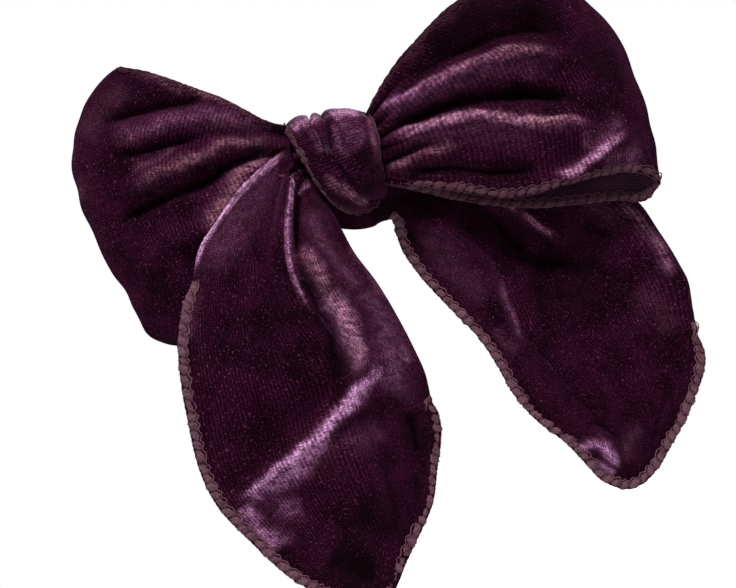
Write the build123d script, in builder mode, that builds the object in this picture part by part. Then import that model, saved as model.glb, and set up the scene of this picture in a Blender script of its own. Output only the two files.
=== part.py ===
"""Alligator hair clip carrying a tied velvet bow.

Frame: +X runs along the clip to the viewer's right, -Y is the front of the bow, +Z is up as worn.
The origin is the middle of the grip, on the clamping face of the flat arm. Millimetres throughout.
"""

import os

from build123d import *

# ---- clip: driving dimensions -------------------------------------------------------------
STEEL = 0.8
ARM_TIP_X = -25.0
ARM_END_X = 23.0
ARM_WIDTH = 8.8
ARM_END_RADIUS = 3.0
PIN_X = 10.0
PIN_Y = 3.2
PIN_RADIUS = 0.9
PIN_HEAD_RADIUS = 1.5
PIN_HEAD_THICK = 0.5
RUNNING_CLEARANCE = 0.05
EAR_THICK = 0.7
EAR_RADIUS = 2.4
JAW_WIDTH = 7.0
JAW_FLOOR_Y = 6.4
JAW_BEND_X = -11.0
JAW_TIP_Y = 2.4
TAB_START_X = 12.0
TAB_RISE = 3.8
TEETH_Y = 0.6
TEETH_COUNT = 7
TOOTH_PITCH = 1.5
TOOTH_DEPTH = 1.1
RIM_HEIGHT = 0.8
GRIP_RIB_COUNT = 3
RIBBON_THICK = 0.5
RIBBON_WIDTH = 8.0
RIBBON_INNER_END_X = -1.0
RIBBON_OUTER_END_X = 22.0
WIRE_RADIUS = 0.4
COIL_RADIUS = 1.7
COIL_PITCH = 0.9
COIL_TURNS = 4
SPRING_REACH = 10.0

# ---- bow: driving dimensions --------------------------------------------------------------
CLOTH = 1.2
EDGE_WIDTH = 2.2
EDGE_SWELL = 0.3
BOW_Y = -10.0
KNOT_LENGTH = 19.0
KNOT_DEPTH = 8.0
KNOT_HEIGHT = 12.0
KNOT_WRAP = 2.6
KNOT_ROUND = 2.4
GLUE_LENGTH = 17.0
GLUE_HEIGHT = 7.0
THROUGH = 60.0

# Each loop is a run of upright ellipses: height, how far out its fold reaches, half its depth.
LEFT_LOOP = [(38, -38, 4.5), (28, -48.5, 5.5), (10, -55, 6.5), (-8, -53.5, 6.5), (-28, -46, 4.5)]
RIGHT_LOOP = [(26, 47, 4.5), (16, 63, 6.0), (-4, 68, 7.0), (-18, 67, 7.0), (-33, 62, 5.0)]

# Upper and lower edge of each loop, seen from the front: at the knot, and past the fold.
LEFT_UPPER_EDGE = ((-8.5, 10.0), (-64.5, 62.9))
LEFT_LOWER_EDGE = ((-8.5, -9.5), (-64.5, -33.4))
RIGHT_UPPER_EDGE = ((8.5, 8.3), (78.5, 40.3))
RIGHT_LOWER_EDGE = ((8.5, -8.3), (78.5, -38.3))

# Front outline of each tail: its corners, from the knot round the tip and back, and their radii.
LEFT_TAIL_CORNERS = [
    (-8.5, 5.5),
    (-24, -0.5),
    (-39, -15),
    (-50.5, -43),
    (-44.5, -71.5),
    (-25, -94.5),
    (-17.5, -92.5),
    (0.5, -66.5),
    (2.5, -44),
    (-2.5, -22.5),
    (-3, -8),
]
LEFT_TAIL_RADII = [1, 25, 30, 40, 40, 4, 4, 25, 25, 25, 1]
RIGHT_TAIL_CORNERS = [
    (7, -7),
    (8.5, -22),
    (20, -49.5),
    (28.5, -74),
    (35.5, -90),
    (41.5, -90),
    (58, -74),
    (65, -52),
    (57, -25),
]
RIGHT_TAIL_RADII = [1, 25, 25, 25, 4, 4, 20, 25, 1]

# Where a tail's edge is rolled under, so that no stitching shows: corners seen from the front.
LEFT_TAIL_ROLLED = [(-60, -9.5), (-20, -9.5), (-12, -54), (20, -54), (20, 20), (-60, 20)]
RIGHT_TAIL_ROLLED = [(0, -13), (14, -13), (50, -64), (80, -64), (80, 20), (0, 20)]

# Each tail seen from above, as (x, y) of its middle layer, and how far back its foot leans.
LEFT_TAIL_DRAPE = [(-60, -18.4), (-30, -18.6), (-18, -17.9), (-9.5, -15.8), (5, -12.5)]
LEFT_TAIL_LEAN = 3.0
RIGHT_TAIL_DRAPE = [(3, -6.8), (9.5, -5.2), (20, -2.9), (32, -2.0), (50, -2.1), (70, -3.2)]
RIGHT_TAIL_LEAN = 0.0
TAIL_TOP = 20.0
TAIL_BOTTOM = -100.0


# ---- clip ---------------------------------------------------------------------------------
def ear_pair(outer_half_width, hole_radius, base_y, half_foot):
    """Two upright ears on one axis, bored for the pin, standing on a plate at base_y."""
    with BuildPart() as ears:
        for side in (1, -1):
            with BuildSketch(Plane.XY.offset(side * outer_half_width)):
                with BuildLine():
                    Polyline(
                        (PIN_X - half_foot, base_y),
                        (PIN_X - EAR_RADIUS, PIN_Y),
                        (PIN_X + EAR_RADIUS, PIN_Y),
                        (PIN_X + half_foot, base_y),
                        close=True,
                    )
                make_face()
                with Locations((PIN_X, PIN_Y)):
                    Circle(EAR_RADIUS)
                    Circle(hole_radius, mode=Mode.SUBTRACT)
            extrude(amount=-side * EAR_THICK)
    return ears.part


def make_flat_arm():
    """The straight front arm: a flat strip with two ears folded back round the pin."""
    length = ARM_END_X - ARM_TIP_X
    ears = ear_pair(ARM_WIDTH / 2, PIN_RADIUS, 0, EAR_RADIUS + 1)
    with BuildPart() as arm:
        with BuildSketch(Plane.XZ):
            with Locations(((ARM_TIP_X + ARM_END_X) / 2, 0)):
                RectangleRounded(length, ARM_WIDTH, ARM_END_RADIUS)
        extrude(amount=STEEL)
        add(ears)
    arm.part.label = "flat_arm"
    return arm.part


def jaw_floor_points(depth):
    """Side profile of the jaw's floor, depth outside its inner face, from tip to thumb tab."""
    return [
        (ARM_TIP_X, JAW_TIP_Y + depth),
        (JAW_BEND_X - 7, JAW_FLOOR_Y - 0.9 + depth),
        (JAW_BEND_X, JAW_FLOOR_Y + depth),
        (TAB_START_X, JAW_FLOOR_Y + depth),
        (ARM_END_X, JAW_FLOOR_Y + TAB_RISE + depth),
    ]


def make_toothed_jaw():
    """The moving lever: arched floor, toothed front walls, low rims, ears and a thumb tab."""
    half = JAW_WIDTH / 2
    ears = ear_pair(half, PIN_RADIUS + RUNNING_CLEARANCE, JAW_FLOOR_Y, EAR_RADIUS + 1)
    with BuildPart() as jaw:
        with BuildSketch(Plane.XY.offset(-half)):
            with BuildLine():
                Polyline(*jaw_floor_points(0), *reversed(jaw_floor_points(STEEL)), close=True)
            make_face()
        extrude(amount=JAW_WIDTH)
        for side in (1, -1):
            with BuildSketch(Plane.XY.offset(side * half)):
                with BuildLine():
                    Polyline(*wall_points(), close=True)
                make_face()
            extrude(amount=-side * EAR_THICK)
        add(ears)
        tab = Plane((ARM_END_X, JAW_FLOOR_Y + TAB_RISE + STEEL, 0), x_dir=(11, TAB_RISE, 0), z_dir=(0, 0, 1))
        with BuildSketch(tab.offset(-half + 1)):
            for i in range(GRIP_RIB_COUNT):
                with Locations((-1.5 - 1.6 * i, 0)):
                    Circle(STEEL / 2)
        extrude(amount=JAW_WIDTH - 2)
    jaw.part.label = "toothed_jaw"
    return jaw.part


def wall_points():
    """Outline of one side wall: saw teeth at the front, then a low stiffening rim."""
    points = [(ARM_TIP_X, JAW_TIP_Y)]
    for i in range(TEETH_COUNT):
        x = ARM_TIP_X + i * TOOTH_PITCH
        points += [(x, TEETH_Y + TOOTH_DEPTH), (x + TOOTH_PITCH / 2, TEETH_Y)]
    end_x = ARM_TIP_X + TEETH_COUNT * TOOTH_PITCH
    rim_y = JAW_FLOOR_Y - RIM_HEIGHT
    points += [(end_x, TEETH_Y + TOOTH_DEPTH), (JAW_BEND_X, rim_y), (PIN_X - EAR_RADIUS - 1, rim_y)]
    return points + [(PIN_X - EAR_RADIUS - 1, JAW_FLOOR_Y), *reversed(jaw_floor_points(0)[1:3])]


def make_hinge_pin():
    """Riveted pin with a head outside each ear of the flat arm."""
    with BuildPart() as pin:
        with Locations((PIN_X, PIN_Y, 0)):
            Cylinder(PIN_RADIUS, ARM_WIDTH)
        for side in (1, -1):
            with Locations((PIN_X, PIN_Y, side * (ARM_WIDTH + PIN_HEAD_THICK) / 2)):
                Cylinder(PIN_HEAD_RADIUS, PIN_HEAD_THICK)
    pin.part.label = "hinge_pin"
    return pin.part


def make_torsion_spring():
    """Closed coils round the pin, with one leg on the flat arm and one on the thumb tab."""
    half = COIL_TURNS * COIL_PITCH / 2
    with BuildPart() as spring:
        with BuildLine():
            Helix(COIL_PITCH, 2 * half, COIL_RADIUS, center=(PIN_X, PIN_Y, -half))
        with BuildSketch(Plane((PIN_X + COIL_RADIUS, PIN_Y, -half), x_dir=(1, 0, 0), z_dir=(0, 1, 0))):
            Circle(WIRE_RADIUS)
        sweep(is_frenet=True)
        leg(-half, WIRE_RADIUS)
        leg(half, JAW_FLOOR_Y + TAB_RISE * (SPRING_REACH + PIN_X - TAB_START_X) / 11 - 1.5 * WIRE_RADIUS)
    spring.part.label = "torsion_spring"
    return spring.part


def leg(z, end_y):
    """One straight leg, from the coil's outer side to where it bears, with rounded ends."""
    start = Vector(PIN_X + COIL_RADIUS, PIN_Y, z)
    end = Vector(PIN_X + SPRING_REACH, end_y, z)
    along = end - start
    with Locations(Plane(start, z_dir=along)):
        Cylinder(WIRE_RADIUS, along.length, align=(Align.CENTER, Align.CENTER, Align.MIN))
    with Locations(start, end):
        Sphere(WIRE_RADIUS)


def make_arm_ribbon():
    """Grosgrain ribbon glued along the arm's front, round its tip and along its inner face."""
    with BuildPart() as ribbon:
        with BuildSketch(Plane.XY.offset(-RIBBON_WIDTH / 2)):
            with BuildLine():
                Polyline(
                    (RIBBON_OUTER_END_X, -STEEL),
                    (ARM_TIP_X, -STEEL),
                    (ARM_TIP_X, 0),
                    (RIBBON_INNER_END_X, 0),
                    (RIBBON_INNER_END_X, RIBBON_THICK),
                    (ARM_TIP_X - RIBBON_THICK, RIBBON_THICK),
                    (ARM_TIP_X - RIBBON_THICK, -STEEL - RIBBON_THICK),
                    (RIBBON_OUTER_END_X, -STEEL - RIBBON_THICK),
                    close=True,
                )
            make_face()
        extrude(amount=RIBBON_WIDTH)
    ribbon.part.label = "arm_ribbon"
    return ribbon.part


# ---- bow ----------------------------------------------------------------------------------
def make_knot_wrap():
    """The strip's turn round the gathered middle, as a barrel along X."""
    with BuildPart() as wrap:
        with BuildSketch(Plane.YZ.offset(-KNOT_LENGTH / 2)):
            with Locations((BOW_Y, 0)):
                Ellipse(KNOT_DEPTH, KNOT_HEIGHT)
        extrude(amount=KNOT_LENGTH)
        fillet(wrap.edges(), KNOT_ROUND)
        with BuildSketch(Plane.YZ.offset(-KNOT_LENGTH / 2)):
            with Locations((BOW_Y, 0)):
                Ellipse(KNOT_DEPTH - KNOT_WRAP, KNOT_HEIGHT - KNOT_WRAP)
        extrude(amount=KNOT_LENGTH, mode=Mode.SUBTRACT)
    wrap.part.label = "knot_wrap"
    return wrap.part


def make_knot_core():
    """The gathered middle of the strip, held inside the wrap."""
    with BuildPart() as core:
        with BuildSketch(Plane.YZ.offset(-KNOT_LENGTH / 2)):
            with Locations((BOW_Y, 0)):
                Ellipse(KNOT_DEPTH - KNOT_WRAP, KNOT_HEIGHT - KNOT_WRAP)
        extrude(amount=KNOT_LENGTH)
    core.part.label = "knot_core"
    return core.part


def make_knot_edging(wrap):
    """The overlocked edge of the wrap, across the front of the knot's left side."""
    with BuildPart() as edging:
        with BuildSketch(Plane.YZ.offset(-KNOT_LENGTH / 2 + KNOT_ROUND)):
            with Locations((BOW_Y, 0)):
                Ellipse(KNOT_DEPTH + EDGE_SWELL, KNOT_HEIGHT + EDGE_SWELL)
                with Locations((KNOT_DEPTH, 0)):
                    Rectangle(2 * KNOT_DEPTH, 3 * KNOT_HEIGHT, mode=Mode.SUBTRACT)
                Ellipse(KNOT_DEPTH - EDGE_SWELL, KNOT_HEIGHT - EDGE_SWELL, mode=Mode.SUBTRACT)
        extrude(amount=EDGE_WIDTH)
        add(wrap, mode=Mode.SUBTRACT)
    edging.part.label = "knot_edging"
    return edging.part


def make_glue_bead():
    """Hot-melt glue between the back of the knot and the ribbon on the arm."""
    ribbon_face = -STEEL - RIBBON_THICK
    with BuildPart() as bead:
        with BuildSketch(Plane.XZ.offset(-ribbon_face)):
            RectangleRounded(GLUE_LENGTH, GLUE_HEIGHT, GLUE_HEIGHT / 3)
        extrude(amount=1.4)
        with BuildSketch(Plane.YZ.offset(-THROUGH / 2)):
            with Locations((BOW_Y, 0)):
                Ellipse(KNOT_DEPTH, KNOT_HEIGHT)
        extrude(amount=THROUGH, mode=Mode.SUBTRACT)
    bead.part.label = "glue_bead"
    return bead.part


def shifted(edge, amount):
    """A front-view edge line moved up by amount."""
    return [(x, z + amount) for x, z in edge]


def loop_shell(sections, upper, lower, swell):
    """A flattened loop of cloth between two edge lines, swollen by swell on each face."""
    root_x = 5.0 if sections[0][1] > 0 else -5.0
    with BuildPart() as shell:
        for grow, mode in ((swell, Mode.ADD), (-CLOTH - swell, Mode.SUBTRACT)):
            for height, tip_x, half_depth in sections:
                with BuildSketch(Plane.XY.offset(height)):
                    with Locations(((root_x + tip_x) / 2, BOW_Y)):
                        Ellipse(abs(tip_x - root_x) / 2 + grow, half_depth + grow)
            loft(mode=mode)
        with BuildSketch(Plane.XZ):
            with BuildLine():
                Polyline(*upper, *reversed(lower), close=True)
            make_face()
        extrude(amount=THROUGH, both=True, mode=Mode.INTERSECT)
        with BuildSketch(Plane.YZ):
            with Locations((BOW_Y, 0)):
                Rectangle(THROUGH, THROUGH)
        extrude(amount=KNOT_LENGTH / 2, both=True, mode=Mode.SUBTRACT)
    return shell.part


def make_loop(name, sections, upper, lower):
    """One loop, cut back from its two overlocked edges."""
    loop = loop_shell(sections, shifted(upper, -EDGE_WIDTH), shifted(lower, EDGE_WIDTH), 0)
    loop.label = f"{name}_loop"
    top = loop_shell(sections, upper, shifted(upper, -EDGE_WIDTH), EDGE_SWELL)
    top.label = f"{name}_loop_upper_edging"
    bottom = loop_shell(sections, shifted(lower, EDGE_WIDTH), lower, EDGE_SWELL)
    bottom.label = f"{name}_loop_lower_edging"
    return [loop, top, bottom]


def tail_outline(corners, radii):
    """The whole of a tail seen from the front, drawn flat."""
    with BuildSketch() as outline:
        with BuildLine():
            FilletPolyline(*corners, radius=radii, close=True)
        make_face()
    return outline.sketch


def hang(front_view, drape, lean, thick, keep_clear):
    """A hanging sheet, thick through, trimmed to its front view and to what it meets."""
    with BuildPart() as sheet:
        for height, shift in ((TAIL_TOP, 0), (TAIL_BOTTOM, lean)):
            with BuildSketch(Plane.XY.offset(height)):
                with BuildLine():
                    front = Spline(*[(x, y + shift - thick / 2) for x, y in drape])
                    rear = Spline(*[(x, y + shift + thick / 2) for x, y in drape])
                    Line(front @ 0, rear @ 0)
                    Line(front @ 1, rear @ 1)
                make_face()
        loft()
        with BuildSketch(Plane.XZ):
            add(front_view)
        extrude(amount=THROUGH, both=True, mode=Mode.INTERSECT)
        for solid in keep_clear:
            add(solid, mode=Mode.SUBTRACT)
    return sheet.part


def make_tail(name, corners, radii, drape, lean, rolled, keep_clear):
    """One tail, and the overlocked edge along the parts of its outline that aren't rolled."""
    outline = tail_outline(corners, radii)
    with BuildSketch() as inner:
        add(outline)
        offset(amount=-EDGE_WIDTH)
    with BuildSketch() as cloth:
        add(outline)
        Polygon(*rolled, align=None, mode=Mode.INTERSECT)
        add(inner.sketch)
    with BuildSketch() as edge:
        add(outline)
        add(inner.sketch, mode=Mode.SUBTRACT)
        Polygon(*rolled, align=None, mode=Mode.SUBTRACT)
    tail = hang(cloth.sketch, drape, lean, CLOTH, keep_clear)
    tail.label = f"{name}_tail"
    edging = hang(edge.sketch, drape, lean, CLOTH + 2 * EDGE_SWELL, [])
    edging.label = f"{name}_tail_edging"
    return [tail, edging]


def make_bow():
    """Every piece of the bow, in the order they are stacked on the clip."""
    core = make_knot_core()
    wrap = make_knot_wrap()
    knot_edging = make_knot_edging(wrap)
    knot = [core, wrap, knot_edging]
    pieces = [*knot, make_glue_bead()]
    pieces += make_loop("left", LEFT_LOOP, LEFT_UPPER_EDGE, LEFT_LOWER_EDGE)
    pieces += make_loop("right", RIGHT_LOOP, RIGHT_UPPER_EDGE, RIGHT_LOWER_EDGE)
    left = (LEFT_TAIL_CORNERS, LEFT_TAIL_RADII, LEFT_TAIL_DRAPE, LEFT_TAIL_LEAN, LEFT_TAIL_ROLLED)
    right = (RIGHT_TAIL_CORNERS, RIGHT_TAIL_RADII, RIGHT_TAIL_DRAPE, RIGHT_TAIL_LEAN, RIGHT_TAIL_ROLLED)
    pieces += make_tail("left", *left, knot)
    pieces += make_tail("right", *right, knot)
    return pieces


def make_clip():
    """Every piece of the clip."""
    return [
        make_flat_arm(),
        make_toothed_jaw(),
        make_hinge_pin(),
        make_torsion_spring(),
        make_arm_ribbon(),
    ]


os.makedirs("parts", exist_ok=True)
for piece in make_clip() + make_bow():
    export_step(piece, f"parts/{piece.label}.step")
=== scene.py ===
"""Looks for the alligator hair clip and its tied velvet bow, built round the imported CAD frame.

Sizes here are millimetres in the row's own frame unless a name says otherwise: +X along the clip to
the viewer's right, -Y the bow's front, +Z up as worn. Pieces are turned into metres as they are made.
A sheet of cloth is a grid of points: its first index runs along the strip, its second across it.
"""

import math

import bpy
import numpy as np
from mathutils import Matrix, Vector
from mathutils.bvhtree import BVHTree


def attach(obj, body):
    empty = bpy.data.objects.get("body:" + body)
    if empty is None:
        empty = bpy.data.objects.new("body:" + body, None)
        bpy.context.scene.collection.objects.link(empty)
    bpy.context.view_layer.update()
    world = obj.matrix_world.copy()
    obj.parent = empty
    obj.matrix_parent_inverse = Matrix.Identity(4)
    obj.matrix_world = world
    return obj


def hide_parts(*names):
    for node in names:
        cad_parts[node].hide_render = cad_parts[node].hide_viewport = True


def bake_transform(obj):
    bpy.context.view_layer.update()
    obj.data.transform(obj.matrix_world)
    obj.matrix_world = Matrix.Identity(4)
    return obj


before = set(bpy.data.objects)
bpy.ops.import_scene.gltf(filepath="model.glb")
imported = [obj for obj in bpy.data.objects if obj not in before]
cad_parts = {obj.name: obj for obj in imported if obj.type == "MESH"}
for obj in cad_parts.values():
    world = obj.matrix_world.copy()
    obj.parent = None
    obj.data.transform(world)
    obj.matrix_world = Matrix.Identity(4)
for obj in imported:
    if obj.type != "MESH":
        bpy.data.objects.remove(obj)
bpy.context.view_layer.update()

MM = 0.001

# ---- sizes ---------------------------------------------------------------------------------
BOW_Y = -10.0  # the bow's middle plane, in front of the clip
CLOTH = 0.9  # thickness of the velvet
STRIP_WIDTH = 60.0
WAIST_WIDTH = 46.0  # the strip where it is drawn in to make the knot
WRAP_LENGTH = 60.0
STITCH = 2.35  # from one overlock stitch to the next
BAND_HALF_WIDTH = 0.98
BAND_HALF_THICK = 0.8
NEEDLE_THREAD = 0.13
RIB_PITCH = 0.68  # lines of the knit that show through the pile
DOT_PITCH = 0.42
THIN = 0.6  # a stroke of light narrower than this keeps a clean edge
CAMERA_DISTANCE = 400.0
CAMERA_LENS = 90.0
CAMERA_ROLL = math.radians(20)
CAMERA_AIM = (-3.1, -29.4)
FLOOR_Z = -150.0
FLOOR_RADIUS = 450.0
PIN = (10.0, 3.2)  # the clip's hinge pin, across X and Y
RIBBON_WIDTH = 8.0
RIBBON_THICK = 0.5
RIBBON_CORD_PITCH = 0.62
WIRE_RADIUS = 0.4
COIL_RADIUS, COIL_HALF, COIL_TURNS = 1.7, 1.8, 4

# ---- colours, linear -----------------------------------------------------------------------
PILE_DEEP, PILE_DARK = (0.0066, 0.0003, 0.0032), (0.0165, 0.001, 0.0088)
PILE_CRUSHED, PILE_THREAD = (0.042, 0.0052, 0.022), (0.085, 0.014, 0.044)
# The first colour below is a painted glint for specks on the pile, the second painted shade for its
# creases.
PILE_PAINTED_GLINT, PILE_SHADE = (0.22, 0.07, 0.105), (0.0016, 0.0003, 0.0009)
# Painted highlight colours of the pile: a soft step and a full one, each cool or warm.
SOFT_HIGHLIGHT_COOL, SOFT_HIGHLIGHT_WARM = (0.15, 0.04, 0.112), (0.14, 0.045, 0.068)
HIGHLIGHT_COOL, HIGHLIGHT_WARM = (0.7, 0.36, 0.66), (0.62, 0.3, 0.36)
BACK_DARK, BACK_PALE, BACK_KNIT = (0.017, 0.0038, 0.0115), (0.03, 0.0075, 0.021), (0.06, 0.02, 0.042)
YARN_PALE, YARN_DULL, YARN_DEEP = (0.32, 0.15, 0.2), (0.062, 0.02, 0.03), (0.02, 0.005, 0.011)
# The second colour below is painted shade for the grooves between stitches.
YARN_PATCH, YARN_PAINTED_SHADE = (0.04, 0.012, 0.022), (0.009, 0.002, 0.005)
NICKEL_BRIGHT, NICKEL_TARNISH, NICKEL_SCRATCH = (0.66, 0.63, 0.58), (0.48, 0.44, 0.38), (0.8, 0.78, 0.74)
WIRE_BRIGHT, WIRE_DULL = (0.5, 0.49, 0.47), (0.36, 0.34, 0.31)
RIBBON_DARK, RIBBON_PALE, RIBBON_CORD = (0.016, 0.004, 0.012), (0.04, 0.013, 0.03), (0.07, 0.028, 0.055)
GLUE_DEEP, GLUE_MILKY, GLUE_BUBBLE = (0.66, 0.58, 0.4), (0.82, 0.77, 0.62), (0.9, 0.88, 0.8)


# ---- lines and noise -----------------------------------------------------------------------
def spline(values, at, where):
    """Smooth values between the stations at, read at where: cubic, through every station."""
    values, at, where = (np.asarray(v, float) for v in (values, at, where))
    slope = np.gradient(values, at, axis=0)
    i = np.clip(np.searchsorted(at, where, side="right") - 1, 0, len(at) - 2)
    shape = (-1,) + (1,) * (values.ndim - 1)
    step = (at[i + 1] - at[i]).reshape(shape)
    f = (where - at[i]).reshape(shape) / step
    return (
        (2 * f**3 - 3 * f**2 + 1) * values[i]
        + (f**3 - 2 * f**2 + f) * step * slope[i]
        + (3 * f**2 - 2 * f**3) * values[i + 1]
        + (f**3 - f**2) * step * slope[i + 1]
    )


def lengths(points):
    """Distance along a line of points, at each point."""
    steps = np.linalg.norm(np.diff(points, axis=0), axis=1)
    return np.concatenate([[0.0], np.cumsum(steps)])


def through(points, count):
    """A smooth line through points, as count points evenly spaced along it."""
    points = np.asarray(points, float)
    at = lengths(points)
    fine = spline(points, at, np.linspace(0, at[-1], 8 * count))
    return even(fine, count)


def sampled(v, at, where):
    """A run of vectors known at some distances, read at others."""
    return np.stack([np.interp(where, at, v[:, k]) for k in range(v.shape[1])], axis=1)


def even(line, count):
    """The same line as count evenly spaced points."""
    at = lengths(line)
    return sampled(line, at, np.linspace(0, at[-1], count))


def smooth_step(x, low, high):
    """0 below low, 1 above high, and a smooth rise between."""
    f = np.clip((x - low) / (high - low), 0, 1)
    return f * f * (3 - 2 * f)


def eased(v, passes):
    """A run of values with each one drawn towards its neighbours, passes times over."""
    v = v.copy()
    for _ in range(passes):
        v[1:-1] = (v[:-2] + 2 * v[1:-1] + v[2:]) / 4
    return v


def mapped(*axes):
    """Coordinates of a grid of points, each given as anything that broadcasts to the grid."""
    return np.stack(np.broadcast_arrays(*axes), axis=-1)


def ripple(x, y, size, seed, waves=14):
    """Smooth noise about -1 to 1 on a plane, with features about size across."""
    random = np.random.default_rng(seed)
    total = np.zeros_like(x)
    for _ in range(waves):
        angle, phase = random.uniform(0, 2 * math.pi, 2)
        pitch = size * random.uniform(0.8, 2.2)
        total += np.sin((x * math.cos(angle) + y * math.sin(angle)) * 2 * math.pi / pitch + phase)
    return total / math.sqrt(waves)


def unit(v):
    """Vectors made one long."""
    return v / np.maximum(np.linalg.norm(v, axis=-1, keepdims=True), 1e-9)


def normals(grid):
    """Unit normals of a grid of points."""
    return unit(np.cross(np.gradient(grid, axis=0), np.gradient(grid, axis=1)))


# ---- strokes -------------------------------------------------------------------------------
def stroke(grid, points, width, ends=(0.25, 0.25)):
    """How strongly a crease drawn from the front touches each point of a grid, from 0 to 1.

    width is its half width on its left and on its right as drawn, and ends are the shares of its
    length over which it fades in and out.
    """
    line = through(points, 60)
    left, right = width if isinstance(width, tuple) else (width, width)
    tangent = unit(np.gradient(line, axis=0))
    share = np.linspace(0, 1, len(line))
    x, z = grid[..., 0], grid[..., 2]
    best = np.full(x.shape, 1e9)
    across = np.zeros(x.shape)
    along = np.zeros(x.shape)
    for (px, pz), (tx, tz), f in zip(line, tangent, share):
        dx, dz = x - px, z - pz
        distance = dx * dx + dz * dz
        nearer = distance < best
        best = np.where(nearer, distance, best)
        across = np.where(nearer, tx * dz - tz * dx, across)
        along = np.where(nearer, f, along)
    reach = np.sqrt(best)
    half = np.where(across > 0, left, right)
    fade = smooth_step(along, -1e-6, ends[0]) * (1 - smooth_step(along, 1 - ends[1], 1 + 1e-6))
    return np.exp(-((reach / half) ** 2)) * fade


# ---- meshes --------------------------------------------------------------------------------
def quads(rows, columns, ring=False):
    """Faces of a grid of rows by columns; ring joins the last column to the first."""
    r = np.arange(rows - 1)[:, None]
    c = np.arange(columns if ring else columns - 1)[None, :]
    n = (c + 1) % columns
    corners = [r * columns + c, r * columns + n, (r + 1) * columns + n, (r + 1) * columns + c]
    return np.stack([np.broadcast_to(k, np.broadcast(r, c).shape) for k in corners], axis=-1).reshape(-1, 4)


def make_piece(name, points, faces, materials, uv=None, values=None, which=None, smooth=True):
    """A mesh object from points in millimetres."""
    points = np.asarray(points, float).reshape(-1, 3)
    mesh = bpy.data.meshes.new(name)
    mesh.from_pydata((points * MM).tolist(), [], [list(map(int, f)) for f in faces])
    for material in materials:
        mesh.materials.append(material)
    if uv is not None:
        layer = mesh.uv_layers.new(name="strip")
        corner = np.empty(len(mesh.loops), dtype=np.int32)
        mesh.loops.foreach_get("vertex_index", corner)
        layer.data.foreach_set("uv", np.asarray(uv, float).reshape(-1, 2)[corner].ravel())
    for key, value in (values or {}).items():
        mesh.attributes.new(key, "FLOAT", "POINT").data.foreach_set("value", np.ravel(value).astype(float))
    if which is not None:
        mesh.polygons.foreach_set("material_index", np.asarray(which, dtype=np.int32))
    mesh.polygons.foreach_set("use_smooth", np.full(len(mesh.polygons), smooth))
    mesh.update()
    piece = bpy.data.objects.new(name, mesh)
    bpy.context.scene.collection.objects.link(piece)
    return piece


def shell(name, grid, materials, uv, values, thick=CLOTH, ring=False, flip=False):
    """A closed sheet of cloth about a grid: pile side first, then the back, then its rim."""
    rows, columns = grid.shape[:2]
    outward = normals(grid) * (-1 if flip else 1)
    if ring:
        padded = np.concatenate([grid[:, -2:], grid, grid[:, :2]], axis=1)
        outward = normals(padded)[:, 2:-2] * (-1 if flip else 1)
    points = np.concatenate([(grid + side * outward * thick / 2).reshape(-1, 3) for side in (1, -1)])
    face = quads(rows, columns, ring)
    front = face if flip else face[:, ::-1]
    total = rows * columns
    back = front[:, ::-1] + total
    index = np.arange(total).reshape(rows, columns)
    if ring:
        edges = [np.append(index[0], index[0, 0]), np.append(index[-1], index[-1, 0])[::-1]]
    else:
        edges = [index[0], index[-1, ::-1], index[::-1, 0], index[:, -1]]
    rim = np.concatenate([np.stack([e[:-1], e[1:], e[1:] + total, e[:-1] + total], axis=1) for e in edges])
    if flip:
        rim = rim[:, ::-1]
    faces = np.concatenate([front, back, rim])
    which = np.concatenate([np.zeros(len(front)), np.ones(len(back)), np.zeros(len(rim))])
    double = {k: np.tile(np.ravel(v), 2) for k, v in values.items()}
    return make_piece(name, points, faces, materials, np.tile(uv.reshape(-1, 2), (2, 1)), double, which)


def settle(piece, node):
    """Rides a piece on the bow, in place of a node of the frame, which it hides."""
    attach(piece, "bow_and_arm")
    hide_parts(node)


def tube(path, radius, sides):
    """Points, faces and uv of a round tube about a path."""
    path = np.asarray(path, float)
    tangent = unit(np.gradient(path, axis=0))
    frames = [unit(np.cross(tangent[0], (0.3, 0.5, 0.8)))]
    for t in tangent[1:]:
        last = frames[-1]
        frames.append(unit(last - t * np.dot(last, t)))
    first = np.array(frames)
    second = np.cross(tangent, first)
    turn = np.linspace(0, 2 * math.pi, sides, endpoint=False)
    ring = first[:, None] * np.cos(turn)[None, :, None] + second[:, None] * np.sin(turn)[None, :, None]
    points = path[:, None] + ring * radius
    at = lengths(path)
    uv = mapped(at[:, None], turn[None, :] / (2 * math.pi))
    faces = quads(len(path), sides, ring=True)
    caps = [list(range(sides))[::-1], [(len(path) - 1) * sides + k for k in range(sides)]]
    return points.reshape(-1, 3), [*faces.tolist(), *caps], uv.reshape(-1, 2)


def join(parts):
    """One set of points, faces, uv and painted stitch shade from several; a part without that shade has
    none.
    """
    points, faces, uv, stitch_shades, start = [], [], [], [], 0
    for p, f, t, *stitch_shade in parts:
        points.append(p)
        faces += [[i + start for i in face] for face in f]
        uv.append(t)
        stitch_shades.append(stitch_shade[0] if stitch_shade else np.zeros(len(p)))
        start += len(p)
    return np.concatenate(points), faces, np.concatenate(uv), np.concatenate(stitch_shades)


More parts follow.
